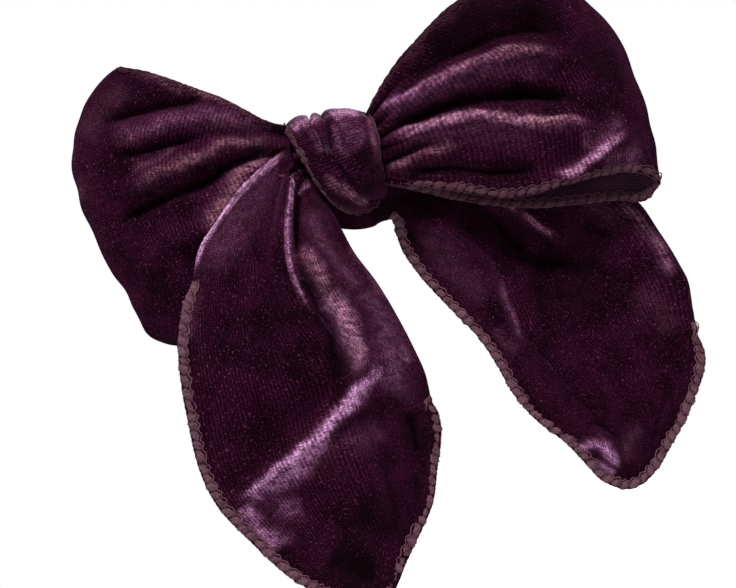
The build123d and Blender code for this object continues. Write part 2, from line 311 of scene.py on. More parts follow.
# ---- materials -----------------------------------------------------------------------------
class Nodes:
    """A material's nodes, with short names for the calls that repeat."""

    def __init__(self, name):
        self.material = bpy.data.materials.new(name)
        self.material.use_nodes = True
        self.tree = self.material.node_tree
        self.shader = self.tree.nodes["Principled BSDF"]

    def node(self, kind, **settings):
        made = self.tree.nodes.new("ShaderNode" + kind)
        for key, value in settings.items():
            if key in made.inputs:
                self.feed(made.inputs[key], value)
            else:
                setattr(made, key, value)
        return made

    def feed(self, socket, value):
        if isinstance(value, bpy.types.NodeSocket):
            self.tree.links.new(value, socket)
        else:
            socket.default_value = value

    def set(self, **values):
        for key, value in values.items():
            self.feed(self.shader.inputs[key.replace("_", " ")], value)

    def math(self, operation, *values, clamp=False):
        made = self.tree.nodes.new("ShaderNodeMath")
        made.operation = operation
        made.use_clamp = clamp
        for socket, value in zip(made.inputs, values):
            self.feed(socket, value)
        return made.outputs[0]

    def sum(self, first, *others):
        for other in others:
            first = self.math("ADD", first, other)
        return first

    def times(self, a, b, clamp=False):
        return self.math("MULTIPLY", a, b, clamp=clamp)

    def mix(self, factor, a, b, kind="MIX"):
        made = self.tree.nodes.new("ShaderNodeMix")
        made.data_type = "RGBA"
        made.blend_type = kind
        for socket, value in zip((made.inputs[0], made.inputs[6], made.inputs[7]), (factor, a, b)):
            self.feed(socket, (*value, 1) if isinstance(value, tuple) else value)
        return made.outputs[2]

    def ramp(self, value, low, high):
        made = self.tree.nodes.new("ShaderNodeMapRange")
        made.interpolation_type = "SMOOTHSTEP"
        for key, v in (("Value", value), ("From Min", low), ("From Max", high)):
            self.feed(made.inputs[key], v)
        return made.outputs[0]

    def attribute(self, name):
        made = self.tree.nodes.new("ShaderNodeAttribute")
        made.attribute_name = name
        return made.outputs["Fac"]

    def strip(self, scale=(1, 1, 1)):
        """Position on the cloth, in millimetres: across, then along."""
        uv = self.node("UVMap", uv_map="strip").outputs[0]
        made = self.tree.nodes.new("ShaderNodeMapping")
        self.feed(made.inputs["Vector"], uv)
        made.inputs["Scale"].default_value = scale
        return made.outputs[0]

    def noise(self, vector, scale, detail=3.0, rough=0.6, distort=0.0):
        made = self.tree.nodes.new("ShaderNodeTexNoise")
        self.feed(made.inputs["Vector"], vector)
        for key, v in (("Scale", scale), ("Detail", detail), ("Roughness", rough), ("Distortion", distort)):
            made.inputs[key].default_value = v
        return made.outputs[0]

    def wave(self, vector, pitch, distort=0.0, detail=2.0, direction="X"):
        made = self.tree.nodes.new("ShaderNodeTexWave")
        made.bands_direction = direction
        self.feed(made.inputs["Vector"], vector)
        made.inputs["Scale"].default_value = math.pi / 10 / pitch
        made.inputs["Distortion"].default_value = distort
        made.inputs["Detail"].default_value = detail
        made.inputs["Detail Scale"].default_value = 1.5
        return made.outputs["Fac"]

    def bump(self, height, distance, strength=1.0):
        made = self.node("Bump", Strength=strength, Distance=distance * MM)
        self.feed(made.inputs["Height"], height)
        self.feed(self.shader.inputs["Normal"], made.outputs[0])


def velvet_material():
    """Pile side: nearly black purple, with painted highlights and painted shade from strokes, lined by the
    knit.
    """
    n = Nodes("velvet_pile")
    cloth = n.strip()
    patches = n.noise(cloth, 0.13, 4.0, 0.62, 0.5)
    crush = n.noise(n.strip((1.0, 0.75, 1)), 0.62, 6.0, 0.72, 0.6)
    pile = n.noise(cloth, 2.4, 4.0, 0.8)
    painted_glints = n.noise(cloth, 1.9, 2.0, 0.9, 0.4)
    ribs = n.wave(cloth, RIB_PITCH, 1.1, 3.0, "Y")
    dots = n.wave(cloth, DOT_PITCH, 3.0, 2.0, "X")
    lit, warm, shade = (n.attribute(name) for name in ("lit", "warm", "shade"))
    base = n.mix(n.ramp(patches, 0.3, 0.74), PILE_DEEP, PILE_DARK)
    base = n.mix(n.times(n.ramp(crush, 0.5, 0.74), 0.42), base, PILE_CRUSHED)
    thread = n.times(n.ramp(ribs, 0.45, 0.95), n.ramp(dots, 0.1, 0.9))
    base = n.mix(n.times(n.times(thread, n.ramp(patches, 0.28, 0.66)), 0.5), base, PILE_THREAD)
    # Painted glint specks: small bright dots scattered over the pile.
    base = n.mix(n.times(n.ramp(painted_glints, 0.6, 0.72), 0.6), base, PILE_PAINTED_GLINT)
    # Painted highlight: where the lit strokes touch, the pile is lightened towards these colours, broken up
    # by the crushed pile and the knit.
    highlight = n.mix(warm, HIGHLIGHT_COOL, HIGHLIGHT_WARM)
    soft = n.mix(warm, SOFT_HIGHLIGHT_COOL, SOFT_HIGHLIGHT_WARM)
    grain = n.sum(n.times(n.ramp(crush, 0.34, 0.64), 0.52), n.times(thread, 0.42))
    highlight_amount = n.times(lit, n.sum(grain, 0.26), clamp=True)
    colour = n.mix(n.times(highlight_amount, 2.6, clamp=True), base, soft)
    colour = n.mix(n.ramp(highlight_amount, 0.07, 0.84), colour, highlight)
    # Painted shade: the shade strokes darken the pile in its creases and hollows.
    colour = n.mix(n.times(shade, 0.93), colour, PILE_SHADE)
    tips = n.math("MULTIPLY_ADD", n.ramp(pile, 0.36, 0.66), 1.6, 0.34)
    colour = n.mix(1.0, colour, tips, "MULTIPLY")
    n.set(Base_Color=colour, Roughness=0.8, Specular_IOR_Level=0.02)
    n.set(Sheen_Weight=0.09, Sheen_Roughness=0.2, Sheen_Tint=(0.85, 0.2, 0.55, 1))
    height = n.sum(n.times(ribs, 0.5), n.times(dots, 0.2), n.times(pile, 1.2), n.times(crush, 1.6))
    n.bump(height, 0.24, 1.0)
    return n.material


def reverse_material():
    """Back of the velvet: flat knit with fine wales, duller than the pile."""
    n = Nodes("velvet_back")
    cloth = n.strip()
    wales = n.wave(cloth, 0.62, 0.6, 2.0, "X")
    courses = n.wave(cloth, 0.5, 0.6, 2.0, "Y")
    patches = n.noise(cloth, 0.2, 3.0)
    base = n.mix(n.ramp(patches, 0.35, 0.7), BACK_DARK, BACK_PALE)
    base = n.mix(n.times(n.times(wales, courses), 0.7), base, BACK_KNIT)
    n.set(Base_Color=base, Roughness=0.85, Specular_IOR_Level=0.08)
    n.set(Sheen_Weight=0.1, Sheen_Roughness=0.5, Sheen_Tint=(0.8, 0.5, 0.7, 1))
    n.bump(n.sum(n.times(wales, 0.6), n.times(courses, 0.4)), 0.12, 0.9)
    return n.material


def thread_material():
    """Woolly overlock thread: dusty purple, darker between its fibres, with painted shade in the grooves
    between stitches.
    """
    n = Nodes("overlock_thread")
    cloth = n.strip()
    fibres = n.noise(n.strip((1.0, 9.0, 1)), 3.2, 4.0, 0.7, 0.8)
    patches = n.noise(cloth, 0.5, 2.0)
    pale = n.mix(n.attribute("pale"), YARN_DULL, YARN_PALE)
    base = n.mix(n.ramp(fibres, 0.34, 0.68), YARN_DEEP, pale)
    base = n.mix(n.times(n.ramp(patches, 0.45, 0.7), 0.6), base, YARN_PATCH)
    # Painted shade in the grooves between stitches and plies.
    base = n.mix(n.times(n.attribute("stitch_shade"), 0.62, clamp=True), base, YARN_PAINTED_SHADE)
    n.set(Base_Color=base, Roughness=0.8, Specular_IOR_Level=0.03)
    n.set(Sheen_Weight=0.1, Sheen_Roughness=0.3, Sheen_Tint=(0.9, 0.45, 0.7, 1))
    n.bump(fibres, 0.14, 0.9)
    return n.material


# ---- overlocked edges ----------------------------------------------------------------------
def across_from(v, *axes):
    """Unit vectors with what lies along each of some axes taken away."""
    for axis in axes:
        v = unit(v - axis * np.sum(v * axis, axis=1, keepdims=True))
    return v


def overlock(line, inward, outward, seed, size, pale):
    """Stitches wrapped round a cloth edge: a corded band, a needle line each side, and loops.

    Every length across the band grows with size; pale is how pale its thread is.
    """
    at = lengths(line)
    count = int(at[-1] / STITCH * 16)
    where = np.linspace(0, at[-1], count)
    line, inward, outward = (sampled(v, at, where) for v in (line, inward, outward))
    tangent = unit(np.gradient(line, axis=0))
    inward = across_from(inward, tangent)
    outward = across_from(outward, tangent, inward)
    zero = np.zeros_like(where)
    drift = 0.2 * ripple(where, zero, 7.0, seed) + 0.06 * ripple(where, zero, 2.5, seed + 7)
    plump = 1 + 0.1 * ripple(where, zero, 4.0, seed + 1) + 0.06 * ripple(where, zero, 1.3, seed + 2)
    wide = 1 + 0.12 * ripple(where, zero, 3.0, seed + 3)
    # The band tapers over a millimetre or so at each end.
    ends = np.minimum(smooth_step(where, 0, 1.2), 1 - smooth_step(where, at[-1] - 1.2, at[-1]))[:, None]
    sides = 20
    turn = np.linspace(0, 2 * math.pi, sides, endpoint=False)
    phase = where[:, None] / STITCH + drift[:, None] + turn / (2 * math.pi)
    cord = np.abs(np.sin(math.pi * phase)) ** 0.7
    yarn = np.abs(np.sin(6 * math.pi * phase))
    tuft = 0.1 * ripple(where[:, None] + 0 * turn, turn * 0.9 + zero[:, None], 0.5, seed + 4)
    radius = (0.7 + 0.3 * cord + 0.08 * yarn * cord + tuft) * plump[:, None] * (0.25 + 0.75 * ends)
    flat = np.sign(np.cos(turn)) * np.abs(np.cos(turn)) ** 0.8 * BAND_HALF_WIDTH * size * wide[:, None]
    thick = np.sign(np.sin(turn)) * np.abs(np.sin(turn)) ** 0.9 * BAND_HALF_THICK * size
    centre = line + inward * BAND_HALF_WIDTH * size * 0.9 * (0.6 + 0.4 * ends)
    points = (
        centre[:, None]
        + inward[:, None] * (flat * radius)[..., None]
        + outward[:, None] * (thick * radius)[..., None]
    )
    uv = mapped(where[:, None], turn[None, :] * 0.9)
    caps = [list(range(sides))[::-1], [(count - 1) * sides + k for k in range(sides)]]
    faces = [*quads(count, sides, ring=True).tolist(), *caps]
    # Painted shade in the grooves between stitches and between the plies of the yarn.
    stitch_shade = np.clip(1.1 - 1.5 * cord, 0, 1) + 0.6 * (1 - yarn)
    parts = [(points.reshape(-1, 3), faces, uv.reshape(-1, 2), stitch_shade.ravel())]
    swing = np.sin(2 * math.pi * (where / STITCH + drift))[:, None]
    beat = np.cos(2 * math.pi * (where / STITCH + drift))[:, None]
    needle = inward * (2 * BAND_HALF_WIDTH * size - 0.05 + 0.26 * swing)
    paths = [line + ends * (needle + outward * face * 0.62) for face in (1, -1)]
    paths.append(line - ends * (inward * (0.12 * np.abs(swing) - 0.05) - outward * 0.25 * beat))
    parts += [tube(path[::2], NEEDLE_THREAD, 6) for path in paths]
    points, faces, uv, stitch_shades = join(parts)
    return points, faces, uv, stitch_shades, np.full(len(points), float(pale))


def stitch_piece(name, node, bands):
    """One piece of thread from bands of stitches, standing for a node of the frame."""
    start, points, faces, uv, stitch_shades, pale = 0, [], [], [], [], []
    for p, f, t, d, c in bands:
        points.append(p)
        faces += [[i + start for i in face] for face in f]
        uv.append(t)
        stitch_shades.append(d)
        pale.append(c)
        start += len(p)
    values = {"stitch_shade": np.concatenate(stitch_shades), "pale": np.concatenate(pale)}
    piece = make_piece(name, np.concatenate(points), faces, [THREAD], np.concatenate(uv), values)
    settle(piece, node)


def edge_of(grid, rows, columns, step, flip):
    """Line, inward and outward directions along part of a grid's edge."""
    line = grid[rows, columns]
    within = (np.clip(k + d, 0, n - 1) for k, d, n in zip((rows, columns), step, grid.shape))
    inner = grid[tuple(within)]
    outward = normals(grid)[rows, columns] * (-1 if flip else 1)
    return line, unit(inner - line), outward


# ---- pieces of the bow ---------------------------------------------------------------------
def loop_grid(root, fold, upper, front_lower, back_lower, depth, rows=230, columns=150):
    """A loop of the strip: out along the front, round the fold and back behind.

    Rows run from the knot round the fold to the knot again, columns from upper to lower edge.
    """
    s = np.linspace(0, 1, rows)
    t = np.linspace(0, 1, columns)
    reach = np.sin(math.pi * s)
    side = np.cos(math.pi * s)
    root, fold = through(root, columns), through(fold, columns)
    flat = root + reach[:, None, None] * (fold - root)
    # Each edge of the strip bends from the straight way between its ends, and draws the cloth along.
    for edge, weight, where in (
        (upper, (1 - t) ** 2.2, np.full(rows, True)),
        (front_lower, t**2.2, side > 0),
        (back_lower, t**2.2, side <= 0),
    ):
        line = through(edge, 200)
        bent = sampled(line, lengths(line) / lengths(line)[-1], reach)
        straight = line[0] + reach[:, None] * (line[-1] - line[0])
        shift = np.where(where[:, None], bent - straight, 0)
        flat = flat + shift[:, None] * weight[None, :, None]
    narrow = 0.42 + 0.58 * smooth_step(reach, 0.0, 0.55)
    half = spline(np.asarray(depth, float), np.linspace(0, 1, len(depth)), t)
    y = BOW_Y - side[:, None] * narrow[:, None] * half[None, :]
    return np.stack([flat[..., 0], y, flat[..., 1]], axis=-1), s, t


def gather(s, t, count, deep, reach, seed):
    """Small pleats where the strip is drawn into the knot; they fade over reach."""
    out = np.sin(math.pi * s)[:, None]
    wander = 0.35 * ripple(t * 3 + 0 * out, out * 2 + 0 * t, 1.3, seed)
    pleats = np.sin(2 * math.pi * (count * t + wander))
    return deep * np.exp(-out / reach) * pleats


LEFT_LOOP = {
    "root": [(-7.5, 10.5), (-7.8, 3), (-8, -3), (-7.5, -9)],
    "fold": [
        (-36.6, 35), (-40.4, 33.6), (-44.5, 30.8), (-49.2, 26.6), (-53.4, 20.8), (-54.8, 12.4), (-54.1, 3),
        (-53, -7), (-52, -15), (-50, -21.6), (-45.4, -25.4), (-39, -28.2),
    ],
    "upper": [(-7.5, 10.5), (-10.5, 12.5), (-14.5, 16.6), (-18.5, 21.2), (-23, 25.1), (-29, 30),
        (-33, 33), (-36.6, 35)],
    "front_lower": [(-7.5, -9), (-18, -14.5), (-29, -22), (-39, -28.2)],
    "back_lower": [(-7.5, -9), (-18, -16.5), (-29, -24.5), (-39, -28.2)],
    "depth": [4.2, 5.8, 6.4, 6.2, 5.0],
}
RIGHT_LOOP = {
    "root": [(9, 7), (10, 3), (9.8, -3), (9.3, -8)],
    "fold": [
        (46, 24.4), (52, 23.4), (58, 20.2), (63, 14.2), (65.7, 7), (67.1, 0), (67.9, -7.4), (67.1, -15.4),
        (65.9, -22), (64.7, -28.8),
    ],
    "upper": [(9, 7), (14, 11.2), (19, 15), (25.5, 18.6), (32, 21.7), (39, 23.8), (46, 24.4)],
    "front_lower": [
        (9.3, -8), (14.5, -10.7), (22.5, -15), (30.5, -19.4), (37, -21.2), (44, -21.6), (52, -22.4),
        (59, -23.8), (63, -26.2), (64.7, -28.8),
    ],
    "back_lower": [(9.3, -8), (16, -12.5), (25, -18), (36, -23.4), (46, -26.4), (55, -28.6),
        (61.4, -30.8), (64.7, -28.8)],
    "depth": [4.2, 6.2, 7.2, 6.8, 5.2],
}

# Creases drawn from the front: points, half widths left and right of the way they run, height.
LEFT_LOOP_CREASES = [
    ([(-20, 21.5), (-27.5, 22.8), (-33.5, 23.6), (-40, 24.4), (-46, 25)], (1.4, 2.0), -2.6),
    ([(-11, 12), (-18.5, 16.4), (-27, 19), (-36, 20), (-45, 21)], (2.6, 3.2), 1.8),
    ([(-24, 14), (-30, 15), (-35, 15.6), (-40, 16), (-45, 16)], (1.1, 1.3), -1.7),
    ([(-9.5, 9), (-14, 9.6), (-20, 10.8), (-28, 10.6), (-36, 10.4), (-43, 9),
      (-48, 7)], (2.2, 2.0), 2.3),
    ([(-11, 7.3), (-14, 7), (-20, 7), (-28, 4.8), (-36, 5), (-43, 4.2), (-50, 2.4)], (1.6, 1.7), -4.4),
    ([(-13, 5), (-20, 3), (-25, -0.5), (-30, -4.2), (-36, -5), (-42, -5.6)], (1.7, 3.4), 2.4),
    ([(-24, -11), (-32, -15), (-42, -17)], (2.6, 3.4), -1.6),
]
RIGHT_LOOP_CREASES = [
    ([(10.5, 6.2), (16, 6.8), (22, 7.2), (28, 8), (34, 8.4), (40, 8.4), (46, 7.8), (52, 5),
      (56, 2)], (1.6, 3.2), 3.4),
    ([(12, 3), (16, 2.7), (22, 2.8), (28, 3), (34, 2.2), (40, 0.2), (46, -2), (52, -5.4),
      (56, -8)], (1.9, 2.0), -4.8),
    ([(10.5, 0.4), (16, 0.4), (22, 0), (28, -1), (34, -2.6), (40, -6), (46, -8.8), (52, -11.2),
      (57, -13)], (1.7, 4.4), 3.0),
    ([(10, -3), (14, -3.4), (18, -3.2), (23, -3)], (1.0, 1.2), -2.4),
    ([(9.5, -5), (16, -5.6), (23, -6)], (0.9, 1.1), 1.2),
    ([(12, -7.8), (18, -8.6), (24, -10.4), (30, -13.6), (36, -15.6), (42, -16.8)], (1.6, 1.8), -2.4),
    ([(38, -21), (46, -20.2), (52, -18.7), (58, -16.8), (63, -14.8)], (1.8, 2.4), 2.3),
    ([(22, 11), (28, 12.2), (34, 12.8), (40, 13), (46, 12.8), (52, 11), (58, 7.6)], (3.6, 1.5), -2.6),
]
# Painted highlights on the pile: points, half widths, strength, and how warm its colour is.
LEFT_LOOP_LIGHT = [
    ([(-12, 14), (-20, 21.5), (-29, 28.5), (-36, 33.5)], (1.0, 2.2), 0.24, 0.9),
    ([(-36, 31), (-43, 28), (-49, 22)], 2.4, 0.12, 0.7),
    ([(-10, 12), (-16, 15.4), (-21, 17.4), (-28, 19.6), (-36, 20), (-45, 21)], (1.8, 2.2), 0.2, 0.2),
    ([(-9, 9.4), (-14, 9.4), (-20, 10.6), (-28, 10.4), (-36, 10.2), (-44, 8)], (1.0, 1.2), 0.28, 1.0),
    ([(-31, 13.6), (-37, 13), (-43, 12.6)], 1.0, 0.16, 0.9),
    ([(-11, 6), (-14, 5.6), (-20, 3.2), (-24, 0), (-28.5, -4), (-33, -6)], (0.8, 2.4), 0.34, 0.9),
    ([(-54, 16), (-55, 10)], 1.6, 0.14, 0.1),
]
# Painted shade in the creases and hollows: points, half widths, strength.
LEFT_LOOP_SHADE = [
    ([(-11, 7.4), (-14, 7.2), (-20, 7.2), (-28, 5.4), (-33, 4.8)], (0.9, 1.0), 1.0),
    ([(-27, 4.4), (-33, 4.6), (-39, 4.6), (-44, 3.8), (-50, 2)], (1.2, 1.6), 1.0),
    ([(-22, 22.4), (-27.5, 23), (-33.5, 23.8), (-40, 24.8), (-47, 25.4)], (1.0, 1.3), 0.85),
    ([(-26, 14), (-33, 15.4), (-39, 16), (-45, 16)], (0.7, 0.9), 0.75),
    ([(-24, -11), (-31, -15), (-38, -18)], 4.0, 0.55),
    ([(-44, -8), (-46, -13), (-45, -20)], 3.6, 0.4),
    ([(-26, 25.4), (-34, 28.6), (-42, 28), (-48, 21)], 2.4, 0.3),
]
RIGHT_LOOP_LIGHT = [
    ([(10.5, 6.6), (16, 7.4), (22, 8), (28, 8.9), (34, 9.3), (40, 9.6), (46, 9), (51, 6.6),
      (55, 4)], (0.6, 1.7), 0.33, 1.0),
    ([(12, 5.6), (22, 6.2), (32, 6.6), (42, 6.2), (52, 2)], 2.2, 0.16, 0.2),
    ([(13, 7), (18, 7.6), (24, 8.2)], 0.7, 0.4, 0.1),
    ([(10.5, 0.8), (16, 1), (22, 0.8), (28, -0.2), (34, -1.7), (40, -5), (46, -7.8), (52, -9.8),
      (57, -11.4)], (0.6, 1.6), 0.48, 0.95),
    ([(12, -0.4), (20, -1.6), (28, -3.6), (36, -7), (44, -11)], 2.6, 0.12, 0.15),
    ([(9.6, -5), (16, -5.2), (22, -5.2), (27, -6)], 0.9, 0.3, 1.0),
    ([(43, -20.6), (47, -20), (52, -18.8), (55, -17.8), (58, -16.8),
      (62, -15.2)], (1.5, 0.9), 0.56, 0.4),
    ([(50, -15), (56, -14.6), (62, -12.6)], 2.4, 0.18, 0.2),
    ([(54, -21), (60, -20.4), (64, -20)], 2.0, 0.2, 0.1),
    ([(20, 14.6), (30, 19.6), (40, 22.6)], 1.0, 0.14, 0.9),
]
RIGHT_LOOP_SHADE = [
    ([(13, 3), (16, 2.8), (22, 3), (28, 3.2), (34, 2.4), (40, 0.4), (46, -1.8),
      (52, -5.4)], (1.4, 1.4), 1.0),
    ([(40, 1.6), (46, -1), (52, -4.6)], 1.6, 1.0),
    ([(20, 11.4), (26, 12.4), (34, 13.4), (40, 13.6), (46, 13), (52, 11), (58, 7.6)], (2.2, 1.6), 1.0),
    ([(26, 15), (34, 17), (42, 17.6), (50, 16), (57, 11)], (4.4, 3.6), 0.85),
    ([(58, 7), (61, 0), (61, -6)], 3.4, 0.5),
    ([(10.5, -3), (15, -3.2), (21, -2.8)], 0.9, 1.0),
    ([(12, -8), (18, -9), (24, -10.6), (28, -12.6), (34, -14.6)], (1.2, 1.4), 1.0),
    ([(30, -13.6), (36, -15.6), (42, -17)], (2.0, 1.8), 0.85),
]


def sculpt(grid, creases, mask, outward):
    """Pushes a grid out along outward where each crease touches it."""
    push = np.zeros(grid.shape[:2])
    for points, width, height in creases:
        push += height * stroke(grid, points, width)
    return grid + outward * (push * mask)[..., None]


def paint(grid, light, shade, mask):
    """Painted highlight (lit), its warmth, and painted shade values of every point, from strokes drawn from
    the front.

    Wide strokes get ragged edges.
    """
    lit = np.zeros(grid.shape[:2])
    dark = np.zeros(grid.shape[:2])
    warm = np.full(grid.shape[:2], 0.3)
    x, z = grid[..., 0], grid[..., 2]
    ragged = grid.copy()
    for axis, seed in ((0, 101), (2, 105)):
        ragged[..., axis] += 0.5 * ripple(x, z, 6, seed) + 0.14 * ripple(x, z, 1.6, seed + 2)
    for points, width, strength, warmth in light:
        touch = stroke(grid if np.min(width) < THIN else ragged, points, width, (0.15, 0.2)) * mask
        warm = warm * (1 - touch) + warmth * touch
        lit = np.maximum(lit, strength * touch)
    for points, width, strength in shade:
        dark = np.maximum(dark, strength * stroke(ragged, points, width, (0.12, 0.2)) * mask)
    return {"lit": lit, "warm": warm, "shade": dark}


def make_loop(name, shape, creases, light, shade, flip, seed):
    """One loop and its two overlocked edges."""
    grid, s, t = loop_grid(**shape)
    outward = normals(grid) * (-1 if flip else 1)
    x, z = grid[..., 0], grid[..., 2]
    front = smooth_step(np.cos(math.pi * s), -0.02, 0.22)[:, None] + 0 * t
    reach = np.sin(math.pi * s)[:, None]
    away = smooth_step(reach, 0.0, 0.3)
    pleats = gather(s, t, 6.5, 1.3, 0.16, seed)
    slack = 0.4 * ripple(x, z + 3 * outward[..., 1], 19, seed) + 0.16 * ripple(x, z, 6, seed + 3)
    waves = np.sin(2 * math.pi * (2.6 * t + 0.12 * ripple(x, z, 30, seed + 5)))
    rear = 1.5 * (1 - front) * away * waves * np.exp(-reach / 0.7)
    grid = sculpt(grid, creases, front, outward)
    grid = grid + outward * (pleats + slack * away + rear)[..., None]
    values = paint(grid, light, shade, front)
    uv = mapped(t[None] * STRIP_WIDTH, s[:, None] * 96.0)
    piece = shell(f"{name}_loop_cloth", grid, CLOTH_MATERIALS, uv, values, flip=flip)
    settle(piece, f"{name}_loop")
    rows = np.arange(4, len(s) - 4)
    for edge, column, step, pale, size in (("upper", 0, 4, 0.0, 0.62), ("lower", len(t) - 1, -4, 0.4, 0.9)):
        line, inward, out = edge_of(grid, rows, np.full_like(rows, column), (0, step), flip)
        band = overlock(line, inward, out, seed + step, size, pale)
        stitch_piece(f"{name}_loop_{edge}_stitches", f"{name}_loop_{edge}_edging", [band])
    return piece


# How far forward each tail lies, at shares of its length: shares, then Y.
LEFT_BASE = ([0, 0.08, 0.2, 0.45, 0.75, 1], [-13.5, -16.5, -18.6, -18.6, -16.5, -14.5])
RIGHT_BASE = ([0, 0.08, 0.15, 0.25, 0.4, 0.75, 1], [-7.5, -6.5, -4, -2.2, -2.0, -3.5, -5.0])
# Rows down each tail, seen from the front: left edge, crease, right edge.
LEFT_TAIL_ROWS = [
    ((-8.3, 6.4), (-8.6, 3.2), (-6, -5.5)),
    ((-15, 4.2), (-11.5, -2.5), (-4.8, -10)),
    ((-22, 0.7), (-14.6, -9.5), (-4.3, -14.5)),
    ((-33, -7.6), (-16.5, -16.5), (-3.4, -20.5)),
    ((-39.8, -15.2), (-16.8, -24), (-1.4, -27)),
    ((-45, -24.5), (-15.4, -31), (0, -33.5)),
    ((-47.8, -33.4), (-13, -38), (1.1, -40.5)),
    ((-49.4, -42.5), (-12.5, -45.5), (1.9, -48)),
    ((-50.6, -53), (-13, -52.5), (2.6, -55.5)),
    ((-49.4, -62.3), (-13.5, -59.5), (1.7, -62.5)),
    ((-45, -72), (-14, -68), (-1.9, -70)),
    ((-39.5, -82.1), (-14.5, -77.5), (-6, -77.5)),
    ((-32.8, -89.4), (-16.4, -86.5), (-12.8, -84.5)),
    ((-25.6, -93.8), (-22, -94.2), (-20, -91.7)),
]
RIGHT_TAIL_ROWS = [
    ((-7.5, -11), (-3, -6), (6, -3)),
    ((-2.8, -14.4), (4, -8.5), (13, -5)),
    ((2.5, -15.8), (10, -11), (21, -8)),
    ((7.2, -15.6), (15.5, -14), (30, -12.5)),
    ((7.2, -20), (19.5, -20), (44, -18)),
    ((7.6, -25), (22.5, -28.5), (56.2, -29)),
    ((9.9, -32), (24.5, -35), (59.2, -39)),
    ((13, -39), (25, -41), (60.9, -48.5)),
    ((16.2, -46), (25.5, -48), (61.8, -55.6)),
    ((18, -53.5), (28, -56), (62.5, -62)),
    ((19.5, -61.5), (31, -64), (60, -69.6)),
    ((22.3, -68.2), (34.5, -71), (56, -74.6)),
    ((26.3, -74.4), (36, -77), (52, -79)),
    ((29, -80.5), (36.5, -82), (46.6, -83.6)),
    ((31.5, -85.6), (36.8, -86.5), (42.4, -87)),
    ((34.5, -88.3), (36.9, -88.9), (39.6, -88.4)),
]


def tail_grid(rows, section, base, count=210, columns=170):
    """A tail from its rows: section gives, for each share of its length, how the strip crosses.

    Across runs from 0 at the left edge, by 1 at the crease, to 2 at the right edge.
    """
    rows = np.asarray(rows, float)
    at = lengths(rows.mean(axis=1))
    at = at / at[-1]
    s = np.linspace(0, 1, count)
    t = np.linspace(0, 1, columns)
    left, crease, right = (spline(rows[:, k], at, s) for k in range(3))
    grid = np.empty((count, columns, 3))
    for i, share in enumerate(s):
        stations, across, height = section(share)
        a = spline(across, stations, t)[:, None]
        h = spline(height, stations, t) * (1 - smooth_step(share, 0.8, 0.97))
        # The folds flatten where the tail narrows to its foot.
        room = min(1.0, np.linalg.norm(right[i] - crease[i]) / 12)
        h *= 1 - (1 - room) * smooth_step(a[:, 0], 1.0, 1.3)
        first, second = crease[i] - left[i], right[i] - crease[i]
        flat = np.where(a < 1, left[i] + a * first, crease[i] + (a - 1) * second)
        depth = np.interp(share, *base)
        flat = CAMERA_AIM + (flat - CAMERA_AIM) * (1 + (depth - BOW_Y) / CAMERA_DISTANCE)
        grid[i, :, 0], grid[i, :, 2] = flat[:, 0], flat[:, 1]
        grid[i, :, 1] = depth - h
    return grid, s, t


def left_tail_section(share):
    """Left tail: rolled on its outer edge near the knot, one panel lapped over the other."""
    roll = 1 - smooth_step(share, 0.17, 0.3)
    lap = smooth_step(share, 0.0, 0.04) * (1 - smooth_step(share, 0.3, 0.5))
    over = smooth_step(share, 0.0, 0.04) * (1 - smooth_step(share, 0.27, 0.38))
    under = 1 - smooth_step(share, 0.5, 0.64)
    stations = [0, 0.05, 0.1, 0.22, 0.36, 0.455, 0.49, 0.515, 0.545, 0.6, 0.72, 0.86, 0.95, 1]
    across = [
        0.2 * roll, 0.09 - 0.105 * roll, 0.19 - 0.12 * roll, 0.42 - 0.08 * roll, 0.72, 0.95,
        1.0 + 0.1 * over, 1.03 + 0.03 * over, 1.07 - 0.1 * over, 1.17, 1.45 + 0.05 * under,
        1.74 + 0.12 * under, 1.91 + 0.09 * under, 2.0 - 0.28 * under,
    ]
    height = [
        -4.2 * roll, -1.9 * roll, 0.3, 1.1, 1.9, 2.7 * lap + 0.4, 2.7 * lap, 1.2 * lap, -0.9 * lap,
        -1.6 * lap, 0.6 + 0.6 * lap, 0.6, -0.9 * under, -3.2 * under,
    ]
    return stations, across, height


def right_tail_section(share):
    """Right tail: stitched edge at the left, its right edge rolled back near the loop."""
    roll = 1 - smooth_step(share, 0.54, 0.75)
    stations = [0, 0.08, 0.2, 0.32, 0.5, 0.7, 0.86, 0.95, 1]
    across = [0, 0.25, 0.65, 1.0, 1.28, 1.58, 1.8 + 0.06 * roll, 1.93 + 0.095 * roll, 2.0 - 0.22 * roll]
    height = [0, 0.8, 1.4, 0.6, 0, 0.4, 0.7, -0.8 * roll, -3.4 * roll]
    return stations, across, height


